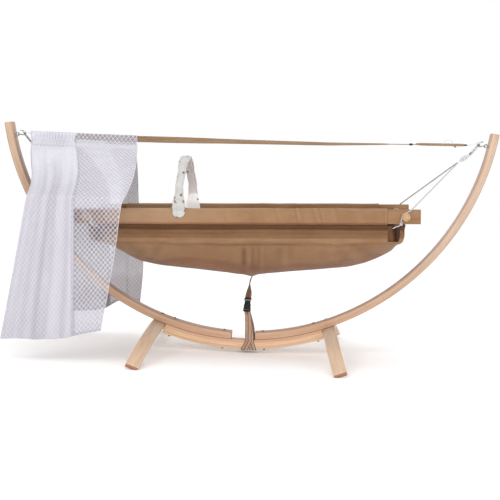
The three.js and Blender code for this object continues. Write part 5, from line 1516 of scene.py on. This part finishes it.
def net_point(X, v, side, off=0.0):
    """X along the strap, v the distance down from the ridge; off pushes out of the tent"""
    y = pchip(v, seg, NR[:, 0])
    z = pchip(v, seg, NR[:, 1])
    share = np.interp(v, seg, np.clip(NR[:, 5], 0, 1))
    z = z + share * (-7.5 * (X + 887) / 435)
    zb = net_bottom(X, side)
    low = v > seg[14]
    z = np.where(low, zb + (z - 86) * (629 - zb) / (629 - 86), z)
    dy = pchip(v + 1, seg, NR[:, 0]) - pchip(v - 1, seg, NR[:, 0])
    dz = pchip(v + 1, seg, NR[:, 1]) - pchip(v - 1, seg, NR[:, 1])
    L = np.hypot(dy, dz) + 1e-9
    ny, nz = -dz / L, dy / L
    return np.stack([X, side * (y + off * ny), z + off * nz], -1)


def net_left(v):
    return pchip(v, seg, NR[:, 2])


def net_right(v, side):
    return pchip(v, seg, NR[:, 3] if side < 0 else NR[:, 4])


FOLD_V = [[0, -700], [40, -706], [150, -672], [280, -640], [400, -629], [700, -625], [1000, -621]]


def fold_x(v):
    """right edge of the gathered part"""
    return interp(v, FOLD_V)


class Layer:
    """one thickness of the net: where it lies and how its folds run"""

    def __init__(self, side, part, off, seed):
        self.side, self.part, self.off = side, part, off
        self.seed, self.tint = (2.3 if side < 0 else 3.9), seed

    def xr(self, v):
        return fold_x(v) if self.part == "gathered" else net_right(v, self.side)

    def xl(self, v):
        return net_left(v) + (4 if self.part == "gathered" else 0)

    def folds(self, X, v):
        lf = 1 - smooth(X, fold_x(v) - 20, fold_x(v) + 25)
        ph = (X - net_left(v)) / np.maximum(fold_x(v) - net_left(v), 1)
        am = np.interp(v, [0, 60, 110, 250, 450, 950], [0.4, 1.4, 2.4, 3.8, 5.0, 6.5])
        # long flutes that start under the header and open downwards
        d = lf * am * (np.sin(2 * np.pi * (2.1 * ph + 0.12 * self.seed) + 0.9 * np.sin(v * 0.004 + self.seed)) + 0.5 * np.sin(2 * np.pi * (4.7 * ph) + 1.3 * self.seed + v * 0.003))
        d = d + (1 - lf) * (2.2 * np.sin(X * 0.021 + v * 0.004 + self.seed) * smooth(v, 60, 300))
        if self.side > 0:
            d = d + 5.0 * np.exp(-((X + 545) / 9) ** 2) * smooth(v, 350, 500)
        # close pleats of the gathered header
        ruff = (0.9 + 1.1 * np.sin(X * 0.043 + self.seed)) * np.sin(2 * np.pi * X / 13.5 + 1.4 * np.sin(X * 0.05 + self.seed)) * lf * np.exp(-(v / 105) ** 4)
        return d * smooth(v, 60, 120) + ruff * smooth(v, 0, 14)

    def density(self, X, v):
        ph = (X - net_left(v)) / np.maximum(fold_x(v) - net_left(v), 1)
        header = 1 - smooth(v, 76, 90)
        casing = 1 - smooth(v, 34, 46)
        if self.part == "gathered":
            d = (0.50 if self.side > 0 else 0.93 if self.off > 0 else 0.78) + 0.04 * np.sin(2 * np.pi * (1.1 * ph) + self.tint) + 0.1 * header
            return np.clip(d, 0, 0.95)
        # the far side is thinner where the near side hangs in front of it
        front = 243 + (net_right(v, -1) - 243) * 1.18
        base = 0.17 if self.side < 0 else 0.24 + 0.42 * smooth(X, front - 24, front + 2)
        left = (1 - smooth(X, fold_x(v) - 8, fold_x(v) + 4)) * 0.25
        d = base + left + casing * (0.28 if self.side < 0 else 0.0) + (header - casing) * (0.34 if self.side < 0 else 0.05)
        roof = smooth(v, 44, 60) * (1 - smooth(v, 466, 484)) * (0.54 if self.side < 0 else 0.0)
        hem = smooth(v, VMAX - 12, VMAX - 8) * 0.3
        low = smooth(v, 560, 700) * (0.17 if self.side < 0 else 0.0) + smooth(v, 800, 890) * (0.36 if self.side < 0 else 0.12)
        return np.clip(d + roof + hem + low, 0, 0.95)

    def fold_shade(self, X, v):
        # painted shade: darker in the pleats of the gathered header, along the header's lower edge, in the long folds
        # of the gathered part and lower down it, along a fold of the far panel and low on the near panel
        ph = (X - net_left(v)) / np.maximum(fold_x(v) - net_left(v), 1)
        gathered = 1 - smooth(X, fold_x(v) - 4, fold_x(v) + 6)
        pleat = 0.5 + 0.5 * np.sin(2 * np.pi * X / 13.5 + 1.4 * np.sin(X * 0.05 + 2.3) + 0.6)
        t = gathered * (1 - smooth(v, 70, 125)) * (0.10 + 0.75 * pleat ** 2 * (0.5 + 0.5 * np.sin(X * 0.031 + 1)))
        t = t + 0.55 * np.exp(-((v - 84) / 5) ** 2) * (0.3 + 0.7 * gathered)
        down = smooth(v, 120, 300)
        t = t + 0.42 * gathered * smooth(v, 230, 430)
        for c0, c1, wd, am in ((0.06, 0.05, 0.05, 0.2), (0.30, 0.27, 0.06, 0.3), (0.52, 0.46, 0.07, 0.55), (0.63, 0.60, 0.04, 0.25), (0.86, 0.84, 0.045, 0.25), (0.985, 0.985, 0.02, 0.6)):
            c = c0 + (c1 - c0) * smooth(v, 300, 1000) + 0.012 * np.sin(v * 0.011 + c0 * 30)
            t = t + gathered * am * np.exp(-((ph - c) / wd) ** 2) * down
        if self.side > 0:
            t = t + 0.8 * np.exp(-((X + 545) / 4.5) ** 2) * smooth(v, 350, 500)
        else:
            t = t + 0.85 * (1 - gathered) * smooth(v, 780, 880)
        return np.clip(t, 0, 1)

    def at(self, X, v):
        v = np.asarray(v, float)
        d = self.folds(X, v)
        room = np.where(v < 30, 0.35, 1.0)
        return net_point(X, v, self.side, self.off * np.interp(v, [0, 40, 120], [0.15, 0.4, 1]) + d * room)


def cloth(layer, nx, nv):
    v = np.linspace(0.0, VMAX, nv)
    u = np.linspace(0, 1, nx)
    Vv, Uu = np.meshgrid(v, u, indexing="ij")
    XX = layer.xl(Vv) + (layer.xr(Vv) - layer.xl(Vv)) * Uu
    P = layer.at(XX, Vv)
    return P, XX, Vv


def strands(layer, cw, chh, width, thick, bag, stretch=1.0):
    """two families of slanting threads, as one flat braid each"""
    def emit(a0, sgn):
        bs = np.arange(-0.25, VMAX / chh + 0.26, 0.25)
        a = a0 + sgn * bs
        v = bs * chh
        X = -900 + a * cw * stretch
        ok = (v >= 0) & (v <= VMAX) & (X >= layer.xl(v) - 1e-6) & (X <= layer.xr(v) + 1e-6)
        runs, cur = [], []
        for i, o in enumerate(ok):
            if o:
                cur.append(i)
            elif cur:
                runs.append(cur)
                cur = []
        if cur:
            runs.append(cur)
        for r_ in runs:
            if len(r_) < 3:
                continue
            P = layer.at(X[r_], v[r_])
            kn = np.abs(((a[r_] - bs[r_] * sgn * -1) * 1.0) % 1.0)
            T, U, W = frames(P, hint=A(0, 0, 1))
            eps = 0.6
            Pa = layer.at(X[r_] + eps, v[r_])
            Pb = layer.at(X[r_], np.minimum(v[r_] + eps, VMAX - 0.01))
            nrm = np.cross(Pa - P, Pb - P)
            nrm /= np.maximum(np.linalg.norm(nrm, axis=1, keepdims=True), 1e-9)
            tan = np.gradient(P, axis=0)
            tan /= np.maximum(np.linalg.norm(tan, axis=1, keepdims=True), 1e-9)
            wd = np.cross(nrm, tan)
            wd /= np.maximum(np.linalg.norm(wd, axis=1, keepdims=True), 1e-9)
            h, w2 = thick / 2, width / 2
            rr = np.stack([P - wd * w2, P + nrm * h, P + wd * w2, P - nrm * h], 1)
            m = len(r_)
            vv = rr.reshape(-1, 3)
            ff = []
            for j in range(m - 1):
                for i in range(4):
                    q = (i + 1) % 4
                    ff.append((j * 4 + i, j * 4 + q, (j + 1) * 4 + q, (j + 1) * 4 + i))
            ff.append((3, 2, 1, 0))
            ff.append(((m - 1) * 4, (m - 1) * 4 + 1, (m - 1) * 4 + 2, (m - 1) * 4 + 3))
            bag.add(vv, ff, vv)
    na = int(480 / (cw * stretch)) + 2
    nb = int(VMAX / chh) + 2
    for k in range(-nb, na + 1):
        emit(k, 1)
    for k in range(0, na + nb + 1):
        emit(k, -1)


CELL_W, CELL_H = 17.6, 22.0
LAYERS = [Layer(-1, "whole", 0.0, 0.0), Layer(1, "whole", 0.0, 1.1), Layer(-1, "gathered", 4.0, 2.3), Layer(1, "gathered", 4.0, 3.9), Layer(-1, "gathered", -4.0, 5.2)]
names = ["near_net", "far_net", "near_net_gathered", "far_net_gathered", "near_net_inner"]
for name, L in zip(names, LAYERS):
    dense_part = L.part == "gathered"
    P, XX, Vv = cloth(L, 110 if dense_part else 150, 190)
    nv, nx = XX.shape
    f = [(j * nx + i, j * nx + i + 1, (j + 1) * nx + i + 1, (j + 1) * nx + i) for j in range(nv - 1) for i in range(nx - 1)]
    lay = np.stack([XX.ravel(), Vv.ravel(), np.zeros(XX.size)], 1)
    ob = make(f"{name}_knit", P.reshape(-1, 3), f, m_film_full if dense_part else m_film if L.side < 0 else m_film_far_shaded, "net", lay=lay, flip=False, sharp=0, slot="net")
    for key, val in (("dens", L.density(XX, Vv)), ("fold", L.fold_shade(XX, Vv))):
        at = ob.data.attributes.new(key, "FLOAT", "POINT")
        at.data.foreach_set("value", val.ravel())
    bag = Bag()
    strands(L, CELL_W, CELL_H, 1.9 if not dense_part else 1.7, 0.8, bag, stretch=1.0 if not dense_part else 0.86)
    # selvedge cords on the cut edges
    for vv_, xx_ in ((np.linspace(0, VMAX, 160), "r"), (np.linspace(0, VMAX, 160), "l")):
        xe = L.xr(vv_) if xx_ == "r" else L.xl(vv_)
        v, f, l = tube(L.at(xe, vv_), 1.1, 6)
        bag.add(v, f, v)
    xe = np.linspace(float(L.xl(VMAX)), float(L.xr(VMAX)), 90)
    v, f, l = tube(L.at(xe, np.full(90, VMAX - 0.5)), 1.2, 6)
    bag.add(v, f, v)
    th = bag.make(f"{name}_threads", m_thread_full if dense_part else m_thread if L.side < 0 else m_thread_far_shaded, "net", sharp=0, slot="net", stands=["mosquito_net"] if name == "near_net" else ())
    w_ = float(np.mean(np.linalg.norm(np.diff(P, axis=1), axis=2).sum(1))) * MM
    l_ = float(np.mean(np.linalg.norm(np.diff(P, axis=0), axis=2).sum(0))) * MM
    print("SHEET", name, round(w_, 3), round(l_, 3))

# ------------------------------------------------------------------- stage
bpy.ops.mesh.primitive_plane_add(size=40, location=(0, 0, 0))
floor = bpy.context.object
floor.name = "floor"
fm = Mat("floor", rough=0.9, spec=0.1)
fm.b.inputs["Base Color"].default_value = (1.0, 1.0, 1.0, 1)
floor.data.materials.append(fm.m)

world = bpy.data.worlds.new("studio")
scene.world = world
world.use_nodes = True
bg = world.node_tree.nodes["Background"]
bg.inputs["Color"].default_value = (1, 1, 1, 1)
bg.inputs["Strength"].default_value = 1.0


def area(name, loc, aim, size, power, colour=(1, 1, 1)):
    ld = bpy.data.lights.new(name, "AREA")
    ld.shape, ld.size, ld.energy, ld.color = "DISK", size, power, colour
    ob = bpy.data.objects.new(name, ld)
    ob.location = loc
    ob.rotation_euler = (Vector(aim) - Vector(loc)).to_track_quat("-Z", "Y").to_euler()
    scene.collection.objects.link(ob)
    return ob


area("key", (-2.6, -3.2, 3.6), (0, 0, 0.4), 2.2, 46, (1.0, 0.99, 0.98))
area("front", (0.5, -4.7, 1.1), (0, 0, 0.45), 3.0, 78)
area("fill", (3.4, -3.0, 2.0), (0, 0, 0.4), 2.6, 14, (0.97, 0.98, 1.0))
area("top", (0, 0.6, 4.2), (0, 0, 0.4), 3.0, 32)
scene.view_settings.view_transform = "Standard"
scene.view_settings.look = "None"
